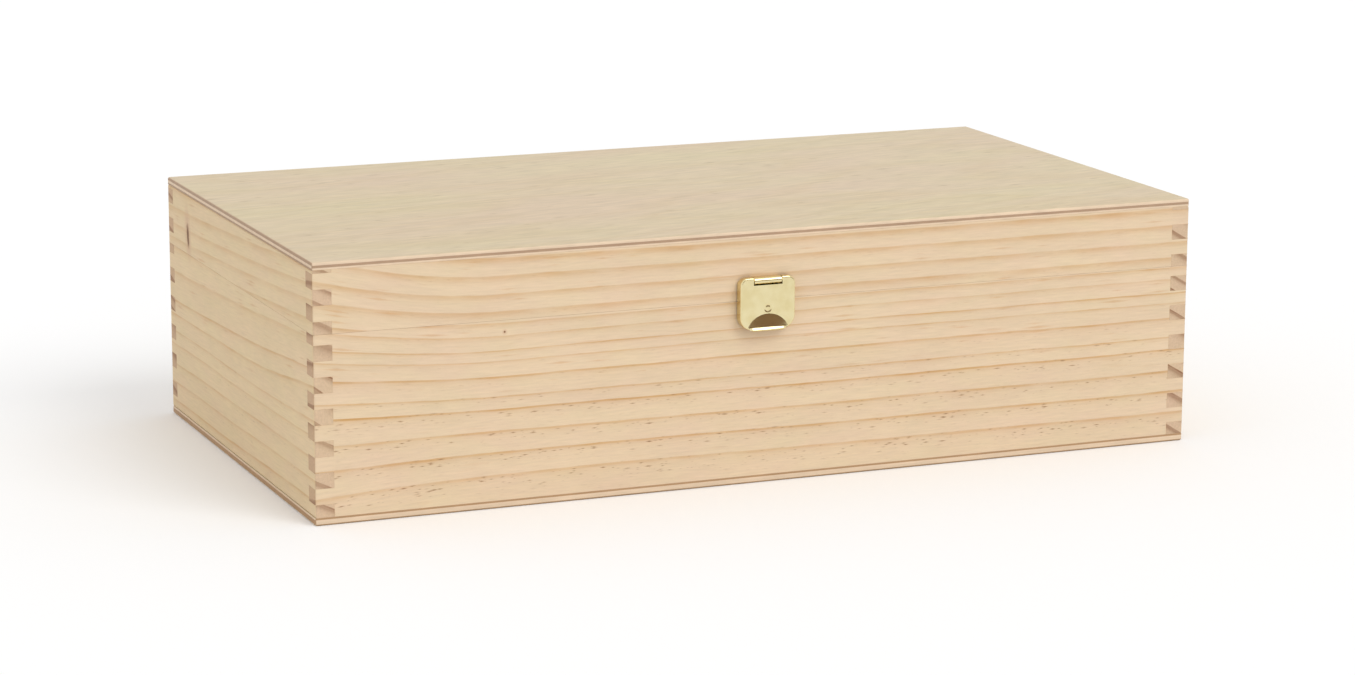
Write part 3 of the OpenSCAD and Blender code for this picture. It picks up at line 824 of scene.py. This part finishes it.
def plated(name, colour_a, colour_b, roughness, seed):
    """Plated and tumbled sheet metal, between two colours, rougher and smoother by patches."""
    material, tree, shader = new_material(name, roughness, metallic=1.0)
    spot, _ = in_millimetres(tree)
    patch = patches(tree, spot, (PATCH, PATCH, PATCH), seed, 2.0)
    colour = stained(tree, colour_a, (node(tree, "MapRange", (patch, 0.35, 0.65)), colour_b))
    tree.links.new(colour, shader.inputs["Base Color"])
    rough = node(tree, "MapRange", (patch, 0.3, 0.7, roughness * 0.8, roughness * 1.25))
    tree.links.new(rough.outputs[0], shader.inputs["Roughness"])
    wavy = patches(tree, spot, (WAVE, WAVE, WAVE), seed + 1, 1.0)
    bump = node(tree, "Bump", {"Height": wavy, "Strength": 0.25, "Distance": WAVE_DEPTH * MM})
    tree.links.new(bump.outputs[0], shader.inputs["Normal"])
    return material


bright_brass = plated("brass_plated_stamped_sheet", "e8dbae", "e3d4a2", 0.13, 2.0)
screw_brass = plated("brass_plated_screws_and_nails", "ecdca6", "e2cf92", 0.2, 6.0)
nickel = plated("nickel_plated_steel_pin", "d8d4cc", "cbc7bf", 0.2, 8.0)
print("plated finishes ready")

# %% [markdown]
# ## Sheet metal from grids
# A stamped part is a flat blank that is bent, so each one is a grid of points: its rows run along
# the bend and its columns across the sheet.  Only half is worked out and mirrored.  Cells that a
# punch would remove are left out, Solidify gives the sheet its thickness, and a tiny bevel is the
# rounding that tumbling leaves on the cut edges.


# %% Grids and mirrored halves
def grid_faces(rows, columns, keep=None):
    """Four-sided faces of a grid, row by row; keep is a table of the cells that stay."""
    corner = np.arange(rows - 1)[:, None] * columns + np.arange(columns - 1)
    quads = np.stack([corner, corner + columns, corner + columns + 1, corner + 1], axis=2)
    return quads.reshape(-1, 4) if keep is None else quads[keep]


def side_by_side(parts):
    """One list of points and of faces from several (points, faces), which stay apart."""
    shift = np.cumsum([0] + [len(points) for points, faces in parts])
    faces = [np.asarray(faces) + offset for (_, faces), offset in zip(parts, shift)]
    return np.vstack([points for points, _ in parts]), np.vstack(faces)


def merge(parts):
    """The same, with shared points welded."""
    points, faces = side_by_side(parts)
    _, first, number = np.unique(np.round(points, 5), axis=0, return_index=True, return_inverse=True)
    faces = number.reshape(-1)[faces]
    used, faces = np.unique(faces, return_inverse=True)
    return points[first[used]], faces.reshape(-1, 4)


def both_halves(points, faces):
    """A half and its mirror image in x = 0, whose faces run the other way round."""
    return merge([(points, faces), (points * (-1, 1, 1), faces[:, ::-1])])


def clean_faces(faces):
    """Faces without the repeated corners that poles and points of a grid make."""
    tidy = [list(dict.fromkeys(face)) for face in faces.tolist()]
    return [face for face in tidy if len(face) > 2]


print("grids ready")

# %% Bent strips, sheet thickness and turned shapes
TUMBLED = 0.07       # rounding of a stamped edge


def rounded_half(half, radius, from_end):
    """Half width of a plate with rounded corners, at a distance from its end."""
    into_corner = radius - np.clip(from_end, 0, radius)
    return half - radius + np.sqrt(np.maximum(radius ** 2 - into_corner ** 2, 0))


def bent_strip(across, path, keep=None):
    """Half a strip and its mirror image.  Each row of across is laid at its step of the path, which
    gives the height and the distance out from the wood."""
    columns = across.shape[1]
    strip = np.dstack([across, np.tile(path[:, :1], columns), np.tile(path[:, 1:], columns)])
    return both_halves(strip.reshape(-1, 3), grid_faces(*across.shape, keep=keep))


def sheet(name, points, faces, thickness, offset):
    """Sheet metal: a grid given a thickness and tumbled edges.  offset is 0 where the grid lies in
    the middle of the sheet and -1 where it is the outer face."""
    piece = mesh_piece(name, points, clean_faces(faces), sharp_degrees=60)
    solid = piece.modifiers.new("sheet thickness", "SOLIDIFY")
    solid.thickness = thickness * MM
    solid.offset = offset
    solid.use_even_offset = True
    tumbled = piece.modifiers.new("tumbled edges", "BEVEL")
    tumbled.limit_method = "ANGLE"
    tumbled.angle_limit = math.radians(50)
    tumbled.width = TUMBLED * MM
    tumbled.segments = 2
    tumbled.harden_normals = True
    return piece


def revolved(profile, around):
    """A profile of (radius, height) turned round the height axis; points on the axis become one."""
    radius, height = np.asarray(profile, float).T
    turn = np.arange(around + 1) % around * 2 * np.pi / around
    points = np.stack([np.outer(radius, np.cos(turn)), np.outer(radius, np.sin(turn)),
                       np.repeat(height[:, None], around + 1, 1)], axis=2)
    return merge([(points.reshape(-1, 3), grid_faces(len(radius), around + 1))])


print("stamped edges are rounded by", TUMBLED, "mm")

# %% The catch's own frame
catch_box = box_mm("latch_cover")
catch_middle = (catch_box[1][0] + catch_box[0][0]) / 2


def at_catch(points):
    """From the catch's frame (x along the box, y up from the seam, z out from the front)."""
    x, y, z = points.T
    return np.column_stack([catch_middle + x, -half_depth - z, seam_height + y])


def half_size(node_name):
    """Half the width of a part of the catch."""
    low, high = box_mm(node_name)
    return (high[0] - low[0]) / 2


print(f"the catch sits {-catch_middle:.1f} mm left of the middle")

# %% [markdown]
# ## The catch's cover
# The cover is a shallow pressed pan that hangs on a bar.  Its edges are folded back over a round
# tool, a slot at the top lets the tongue of the lid plate through, a small pressed ring stiffens
# it, and a half-moon at the bottom flares out so that a finger can lift it.  Its front is a height
# field on a grid; the grid's top row and side column then fold back through a quarter circle and a
# short wall.

# %% Size the cover
cover_low, cover_high = catch_box
SHEET, FOLD, TOP_CORNER, BOTTOM_CORNER = 0.6, 0.6, 3.0, 5.0
LIP_REACH, LIP_WIDTH, LIP_HEIGHT, LIP_LIFT = 1.4, 17.0, 6.1, 1.2
BAR_RADIUS, CURL_RADIUS, CURL_PROUD, SLOT_WIDTH, SLOT_GAP = 0.7, 1.35, 0.25, 11.9, 0.3
cover_half = half_size("latch_cover")
cover_top = cover_high[2] - seam_height
cover_bottom = cover_low[2] - seam_height
cover_face = -half_depth - cover_low[1] - LIP_REACH
bar_height = cover_top - CURL_RADIUS
bar_out = cover_face + CURL_PROUD - CURL_RADIUS
lip_rise = LIP_HEIGHT - LIP_LIFT
lip_radius = ((LIP_WIDTH / 2) ** 2 + lip_rise ** 2) / (2 * lip_rise)
lip_centre = cover_bottom + LIP_HEIGHT - lip_radius
slot_bottom = bar_height - CURL_RADIUS - SLOT_GAP
print(f"cover {2 * cover_half:.1f} x {cover_top - cover_bottom:.1f} mm, its face {cover_face:.2f} mm out")

# %% Relief of the cover's front
CREASE, FLARE_SLOPE = 0.18, 0.14
ROLL_HEIGHT, ROLL_REACH, ROLL_END = 1.3, 0.54, 1.1
LIP_HALF = 7.5       # half the width of the rolled edge
RING_HEIGHT, RING_RADIUS, RING_BREADTH, RING_DEPTH = -2.6, 1.15, 0.6, 0.11


def cover_relief(x, y):
    """How far the front stands out past its flat face.  The half-moon flares evenly from its
    rounded edge, and its last millimetre rolls further out by the square of the way down.  The
    pressed ring is a groove of cosine section."""
    inside = lip_radius - np.hypot(x, y - lip_centre)
    flare = np.clip(inside + CREASE, 0, 2 * CREASE) ** 2 / (4 * CREASE) + np.clip(inside - CREASE, 0, None)
    roll = np.clip((cover_bottom + ROLL_HEIGHT - y) / ROLL_HEIGHT, 0, 1) ** 2
    roll = ROLL_REACH * roll * np.clip((LIP_HALF - np.abs(x)) / ROLL_END, 0, 1) ** 0.5
    off_ring = np.abs(np.hypot(x, y - RING_HEIGHT) - RING_RADIUS)
    groove = RING_DEPTH * (1 + np.cos(np.pi * np.clip(off_ring / RING_BREADTH, 0, 1))) / 2
    return FLARE_SLOPE * flare + roll - groove


def nearest_corner(heights):
    """For each height on the cover the rounded corner that is nearest: the x of its centre, its
    radius, and how far the height is past that centre, upwards at the top and downwards below."""
    high = heights > 0
    radius = np.where(high, TOP_CORNER, BOTTOM_CORNER)
    centre = np.where(high, cover_top - TOP_CORNER, cover_bottom + BOTTOM_CORNER)
    past = np.where(high, np.maximum(heights - centre, 0), np.minimum(heights - centre, 0))
    return cover_half - radius, radius, past


print(f"the finger lip flares {FLARE_SLOPE * LIP_HEIGHT + ROLL_REACH:.1f} mm out at the most")

# %% Press the cover's front
SLOT_COLUMNS = 47
LOWEST_TURN = math.radians(75)       # the bottom corners turn this far, to the lip's rolled edge
top_turn = np.linspace(np.pi / 2, 0, 8)
low_turn = np.linspace(0, LOWEST_TURN, 28)
rows = np.concatenate([
    cover_top - TOP_CORNER + (TOP_CORNER - FOLD) * np.sin(top_turn),
    np.linspace(cover_top - TOP_CORNER, cover_bottom + BOTTOM_CORNER, 96)[1:],
    cover_bottom + BOTTOM_CORNER - (BOTTOM_CORNER - FOLD) * np.sin(low_turn)[1:],
])
face_rows = len(rows)
rows = np.concatenate([rows, np.linspace(rows[-1], cover_bottom, 9)[1:]])
centre_x, radius, past = nearest_corner(rows)
reach_x = centre_x + np.sqrt(np.maximum((radius - FOLD) ** 2 - past ** 2, 0))
inner = np.concatenate([np.linspace(0, SLOT_WIDTH / 2, SLOT_COLUMNS + 1),
                        np.linspace(SLOT_WIDTH / 2, LIP_HALF, 9)[1:]])
outer = LIP_HALF + np.linspace(0, 1, 7)[1:] * (reach_x[:, None] - LIP_HALF)
across = np.hstack([np.tile(inner, (len(rows), 1)), outer])
upward = np.tile(rows[:, None], (1, across.shape[1]))
face = np.dstack([across, upward, cover_face + cover_relief(across, upward)])
slot = (rows[:-1] > slot_bottom + NEAR)[:, None] & (across[:-1, :-1] < SLOT_WIDTH / 2 - NEAR)
keep = ~slot
keep[face_rows - 1:, len(inner) - 1:] = False
front_part = (face.reshape(-1, 3), grid_faces(*across.shape, keep=keep))
print(f"front of {face.shape[0]} by {face.shape[1]} points, {slot.sum()} cells punched for the slot")

# %% Fold its edges back
EAR_RADIUS = 2.0     # above the bar the wall ends on a circle round it
WALL_END = 0.5       # elsewhere it ends this far from the wood
rim = np.vstack([face[0, SLOT_COLUMNS:-1], face[:face_rows, -1]])
centre_x, radius, past = nearest_corner(rim[:, 1])
outward = np.column_stack([np.maximum(rim[:, 0] - centre_x, 0), past])
outward /= np.linalg.norm(outward, axis=1)[:, None]
bend = np.linspace(0, np.pi / 2, 8)
fold_out = np.concatenate([FOLD * np.sin(bend), np.full(4, FOLD)])
above_bar = np.clip(rim[:, 1] + outward[:, 1] * FOLD - bar_height, 0, None)
rim_depth = np.where(above_bar > 0, bar_out - np.sqrt(EAR_RADIUS ** 2 - above_bar ** 2), WALL_END)
wall_share = np.linspace(0, 1, 5)[1:]
rim_relief = rim[:, 2:] - cover_face
fold_z = np.hstack([cover_face - FOLD * (1 - np.cos(bend)) + rim_relief * np.cos(bend),
                    cover_face - FOLD + wall_share * (rim_depth[:, None] - cover_face + FOLD)])
folded = rim[:, None, :2] + fold_out[None, :, None] * outward[:, None, :]
folded = np.concatenate([folded, fold_z[:, :, None]], axis=2)
fold_part = (folded.reshape(-1, 3), grid_faces(len(rim), len(fold_out)))
print("edge folded back in", len(fold_out), "steps")

# %% Add the hook behind the lip and finish the cover
HOOK_COLUMNS, HOOK_ROWS, HOOK_OUT = 20, 8, 1.75      # the hook ends this far from the wood
hook_x = np.linspace(0, LIP_HALF, HOOK_COLUMNS)
hook_top = cover_face - SHEET / 2 + cover_relief(hook_x, np.full(HOOK_COLUMNS, cover_bottom + SHEET / 2))
hook_z = hook_top + np.linspace(0, 1, HOOK_ROWS)[:, None] * (HOOK_OUT - hook_top)
hook = np.dstack([np.tile(hook_x, (HOOK_ROWS, 1)), np.full(hook_z.shape, cover_bottom + SHEET / 4), hook_z])
hook_part = (hook.reshape(-1, 3), grid_faces(HOOK_ROWS, HOOK_COLUMNS))
points, faces = side_by_side([both_halves(*merge([front_part, fold_part])), both_halves(*hook_part)])
cover = sheet("latch_cover_metal", at_catch(points), faces, SHEET, -1)
dress(cover, "latch_cover", bright_brass)

# %% Hang the cover's bar
BAR_OVERLAP, BAR_ROUNDING = 2.6, 0.2     # the bar reaches this far past the slot on each side
bar_half = SLOT_WIDTH / 2 + BAR_OVERLAP
bar_end = np.linspace(0, np.pi / 2, 5)
end_profile = np.column_stack([BAR_ROUNDING * np.sin(bar_end) + BAR_RADIUS - BAR_ROUNDING,
                               bar_half - BAR_ROUNDING + BAR_ROUNDING * np.cos(bar_end)])
bar_profile = np.vstack([[(0, bar_half)], end_profile, end_profile[::-1] * (1, -1), [(0, -bar_half)]])
points, faces = revolved(bar_profile, 32)
points = np.column_stack([points[:, 2], bar_height + points[:, 0], bar_out + points[:, 1]])
bar = mesh_piece("latch_cover_bar", at_catch(points), clean_faces(faces))
dress(bar, "latch_cover", bright_brass)

# %% [markdown]
# ## The plates under the cover
# On the lid, a small plate is nailed to the wood and its tongue runs up, out and round the bar.
# On the base, the keeper carries a pressed ridge over which the cover's lower edge snaps.  Both are
# strips bent along a path, so a row of the grid is a step along the path.

# %% Bend the lid plate and its tongue
plate_low, _ = box_mm("latch_lid_plate")
PLATE_TOP, PLATE_CORNER, TONGUE_WIDTH, TONGUE_BEND = 6.1, 1.0, 11.3, 0.6
CURL_TURN = math.radians(290)
plate_half = half_size("latch_lid_plate")
plate_bottom = plate_low[2] - seam_height
quarter = np.linspace(0, np.pi / 2, 6)
plate_rows = np.concatenate([plate_bottom + PLATE_CORNER * (1 - np.cos(quarter)),
                             np.linspace(plate_bottom + PLATE_CORNER, PLATE_TOP - PLATE_CORNER, 6)[1:],
                             PLATE_TOP - PLATE_CORNER * (1 - np.sin(quarter))[1:]])
curl = np.linspace(0, CURL_TURN, 40)
curl_middle = CURL_RADIUS - SHEET / 2
bend_centre = TONGUE_BEND + SHEET / 2
path = np.vstack([
    np.column_stack([plate_rows, np.full(len(plate_rows), SHEET / 2)]),
    np.column_stack([cover_top - bend_centre + TONGUE_BEND * np.sin(quarter),
                     bend_centre - TONGUE_BEND * np.cos(quarter)]),
    np.column_stack([bar_height + curl_middle * np.cos(curl), bar_out + curl_middle * np.sin(curl)]),
])
half = np.full(len(path), plate_half)
from_end = np.minimum(plate_rows - plate_bottom, PLATE_TOP - plate_rows)
half[:len(plate_rows)] = rounded_half(plate_half, PLATE_CORNER, from_end)
inner = np.linspace(0, TONGUE_WIDTH / 2, 9)
across = np.hstack([np.tile(inner, (len(path), 1)),
                    TONGUE_WIDTH / 2 + np.linspace(0, 1, 5)[1:] * (half[:, None] - TONGUE_WIDTH / 2)])
keep = np.ones((len(path) - 1, across.shape[1] - 1), bool)
keep[len(plate_rows) - 1:, len(inner) - 1:] = False
points, faces = bent_strip(across, path, keep)
lid_plate = sheet("latch_lid_plate_metal", at_catch(points), faces, SHEET, 0)
dress(lid_plate, "latch_lid_plate", bright_brass)

# %% Press the keeper
keeper_low, keeper_high = box_mm("latch_keeper")
RIDGE_HALF, RIDGE_RISE = 1.2, 0.9
keeper_half = half_size("latch_keeper")
keeper_top = keeper_high[2] - seam_height
ridge_height = keeper_low[2] - seam_height + RIDGE_HALF
ridge_top = ridge_height + RIDGE_HALF
keeper_rows = np.concatenate([keeper_top - PLATE_CORNER * (1 - np.cos(quarter)),
                              np.linspace(keeper_top - PLATE_CORNER, ridge_top, 8)[1:],
                              np.linspace(ridge_top, ridge_height - RIDGE_HALF, 21)[1:]])
off = np.clip(np.abs(keeper_rows - ridge_height) / RIDGE_HALF, 0, 1)
keeper_out = SHEET / 2 + RIDGE_RISE * (1 + np.cos(np.pi * off)) / 2
half = rounded_half(keeper_half, PLATE_CORNER, keeper_top - keeper_rows)
across = half[:, None] * np.linspace(0, 1, 12)
points, faces = bent_strip(across, np.column_stack([keeper_rows, keeper_out]))
keeper = sheet("latch_keeper_metal", at_catch(points), faces, SHEET, 0)
dress(keeper, "latch_keeper", bright_brass)

# %% [markdown]
# ## Nails and screws
# The plates are held by tiny nails with domed heads, the hinges by raised countersunk screws with a
# cross recess.  Each is one profile turned round its axis; the recess is pressed into the finished
# head by lowering the points that lie inside two crossing slots.

# %% Turn nails
POINT_FROM, POINT_TO = -4.8, -6.0        # a nail or screw tapers to its point between these depths
NAIL_HEAD, NAIL_RISE, NAIL_SHANK, NAIL_X = 1.2, 0.55, 0.55, 4.3
UNDER_HEAD = [(1.1, SHEET - 0.02), (NAIL_SHANK, SHEET - 0.05)]


def copies(points, faces, places):
    """Copies of one closed shape at several places."""
    return side_by_side([(points + place, faces) for place in places])


def nails(node_name, height):
    """Two domed nails through a plate of the catch."""
    dome = np.linspace(0, np.pi / 2, 8)
    head = np.column_stack([NAIL_HEAD * np.sin(dome), SHEET + NAIL_RISE * np.cos(dome)])
    profile = np.vstack([head, UNDER_HEAD, [(NAIL_SHANK, POINT_FROM), (0, POINT_TO)]])
    points, faces = copies(*revolved(profile, 32), [(-NAIL_X, height, 0), (NAIL_X, height, 0)])
    piece = mesh_piece(node_name + "_metal", at_catch(points), clean_faces(faces))
    dress(piece, node_name, screw_brass)


nails("latch_lid_nails", (plate_bottom + PLATE_TOP) / 2)
nails("latch_keeper_nails", (keeper_top + ridge_top) / 2)

# %% The hinges' own frame
HINGES = ["hinge_left", "hinge_right"]
LEAF, PIN_OUT, KNUCKLE, PIN_RADIUS = 0.8, 2.05, 1.75, 0.9


def hinge_centre(hinge_name):
    """Where a hinge sits along the box: the middle of its pin."""
    low, high = box_mm(hinge_name + "_pin")
    return (low[0] + high[0]) / 2


def at_hinge(points, centre):
    """From a hinge's frame (x along the box, y up from the seam, z out from the back)."""
    x, y, z = points.T
    return np.column_stack([centre - x, half_depth + z, seam_height + y])


for hinge_name in HINGES:
    print(f"{hinge_name} is centred {hinge_centre(hinge_name):.0f} mm from the middle of the back")

# %% Turn the hinge screws
SCREW_HEAD, SCREW_RISE, SCREW_RIM, SCREW_CONE, SCREW_SHANK = 1.7, 0.35, 0.06, 0.86, 0.9
SCREW_X, SCREW_Y = 7.5, 6.2
ARM_HALF, ARM_REACH, ARM_DEPTH = 0.24, 1.2, 0.3      # an arm of the cross recess
ARM_SIDE, ARM_END = 0.08, 0.25           # its walls lean in over these distances


def screw():
    """A raised countersunk screw, whose cross recess lies diagonally."""
    from_axis = np.linspace(0, SCREW_HEAD, 30)
    dome = np.column_stack([from_axis, LEAF + SCREW_RISE * (1 - (from_axis / SCREW_HEAD) ** 2)])
    shank = [(SCREW_HEAD, LEAF - SCREW_RIM), (SCREW_SHANK, LEAF - SCREW_CONE),
             (SCREW_SHANK, POINT_FROM), (0, POINT_TO)]
    points, faces = revolved(np.vstack([dome, shank]), 96)
    diagonals = np.abs([points[:, 0] + points[:, 1], points[:, 0] - points[:, 1]]) / math.sqrt(2)
    aside, far = diagonals.min(axis=0), diagonals.max(axis=0)
    inside = np.clip((ARM_HALF - aside) / ARM_SIDE, 0, 1) * np.clip((ARM_REACH - far) / ARM_END, 0, 1)
    points[:, 2] -= ARM_DEPTH * inside * (points[:, 2] > LEAF)
    return points, faces


def hinge_screws(node_name, side):
    """Four screws, two for each hinge; side is 1 for the lid's leaves and -1 for the base's."""
    points, faces = copies(*screw(), [(-SCREW_X, side * SCREW_Y, 0), (SCREW_X, side * SCREW_Y, 0)])
    points, faces = side_by_side([(at_hinge(points, hinge_centre(name)), faces) for name in HINGES])
    piece = mesh_piece(node_name + "_metal", points, clean_faces(faces))
    dress(piece, node_name, screw_brass)


hinge_screws("hinge_base_screws", -1)
hinge_screws("hinge_lid_screws", 1)
print("eight hinge screws turned")

# %% [markdown]
# ## The butt hinges
# The two hinges sit on the back.  A leaf is a strip whose middle third, or whose outer thirds, run
# on past the plate and roll round the pin; the pin is a plain nickel-plated wire.  The path of the
# strip goes down the plate, up a short ramp and round the pin to just short of the plate again.

# %% Roll the hinge leaves
LEAF_REACH, LEAF_HALF, LEAF_CORNER = 10.0, 12.5, 1.5
KNUCKLE_LID, KNUCKLE_BASE, KNUCKLE_END = 4.017, 4.317, 12.35
ROLL_TURN = math.radians(292)
roll_radius = KNUCKLE - LEAF / 2


def leaf_path():
    """Heights and distances of the strip's middle surface, from the free end to the rolled end, and
    how many of them lie on the flat plate."""
    corner_turn = np.linspace(0, np.pi / 2, 7)
    plate_y = np.concatenate([LEAF_REACH - LEAF_CORNER * (1 - np.cos(corner_turn)),
                              np.linspace(LEAF_REACH - LEAF_CORNER, PIN_OUT, 8)[1:]])
    plate = np.column_stack([plate_y, np.full(len(plate_y), LEAF / 2)])
    ramp = np.linspace(0, 1, 8)[1:]
    ramp_z = LEAF / 2 + (PIN_OUT - roll_radius - LEAF / 2) * (1 - np.cos(np.pi * ramp)) / 2
    turn = np.linspace(0, ROLL_TURN, 49)[1:]
    roll = np.column_stack([-roll_radius * np.sin(turn), PIN_OUT - roll_radius * np.cos(turn)])
    return np.vstack([plate, np.column_stack([PIN_OUT * (1 - ramp), ramp_z]), roll]), len(plate_y)


def leaf(hinge_name, part, knuckles):
    """One leaf; part is "base" or "lid" and knuckles says which columns roll round the pin."""
    path, plate_count = leaf_path()
    half = rounded_half(LEAF_HALF, LEAF_CORNER, LEAF_REACH - path[:, 0])
    half[plate_count:] = KNUCKLE_END
    inner = np.concatenate([np.linspace(0, KNUCKLE_LID, 5),
                            np.linspace(KNUCKLE_BASE, LEAF_HALF - LEAF_CORNER, 7)])
    outer = inner[-1] + np.linspace(0, 1, 5)[1:] * (half[:, None] - inner[-1])
    across = np.hstack([np.tile(inner, (len(path), 1)), outer])
    keep = np.ones((len(path) - 1, across.shape[1] - 1), bool)
    keep[plate_count - 1:] &= knuckles(across[-1, :-1])
    points, faces = bent_strip(across, path, keep)
    if part == "base":
        points = points * (1, -1, 1)
    node_name = f"{hinge_name}_{part}_leaf"
    piece = sheet(node_name + "_metal", at_hinge(points, hinge_centre(hinge_name)), faces, LEAF, 0)
    dress(piece, node_name, bright_brass)


for hinge_name in HINGES:
    leaf(hinge_name, "lid", lambda x: x < KNUCKLE_LID - NEAR)
    leaf(hinge_name, "base", lambda x: x > KNUCKLE_BASE - NEAR)
print("four hinge leaves rolled")

# %% Cut the hinge pins
PIN_ROUNDING = 0.25
cap = np.linspace(0, np.pi / 2, 6)
for hinge_name in HINGES:
    pin_low, pin_high = box_mm(hinge_name + "_pin")
    pin_half = (pin_high[0] - pin_low[0]) / 2
    end_profile = np.column_stack([PIN_RADIUS * np.sin(cap),
                                   pin_half - PIN_ROUNDING + PIN_ROUNDING * np.cos(cap)])
    points, faces = revolved(np.vstack([end_profile, end_profile[::-1] * (1, -1)]), 40)
    points = np.column_stack([points[:, 2], points[:, 0], PIN_OUT + points[:, 1]])
    points = at_hinge(points, hinge_centre(hinge_name))
    piece = mesh_piece(hinge_name + "_pin_metal", points, clean_faces(faces))
    dress(piece, hinge_name + "_pin", nickel)
print(f"pins {2 * pin_half:.2f} mm long")
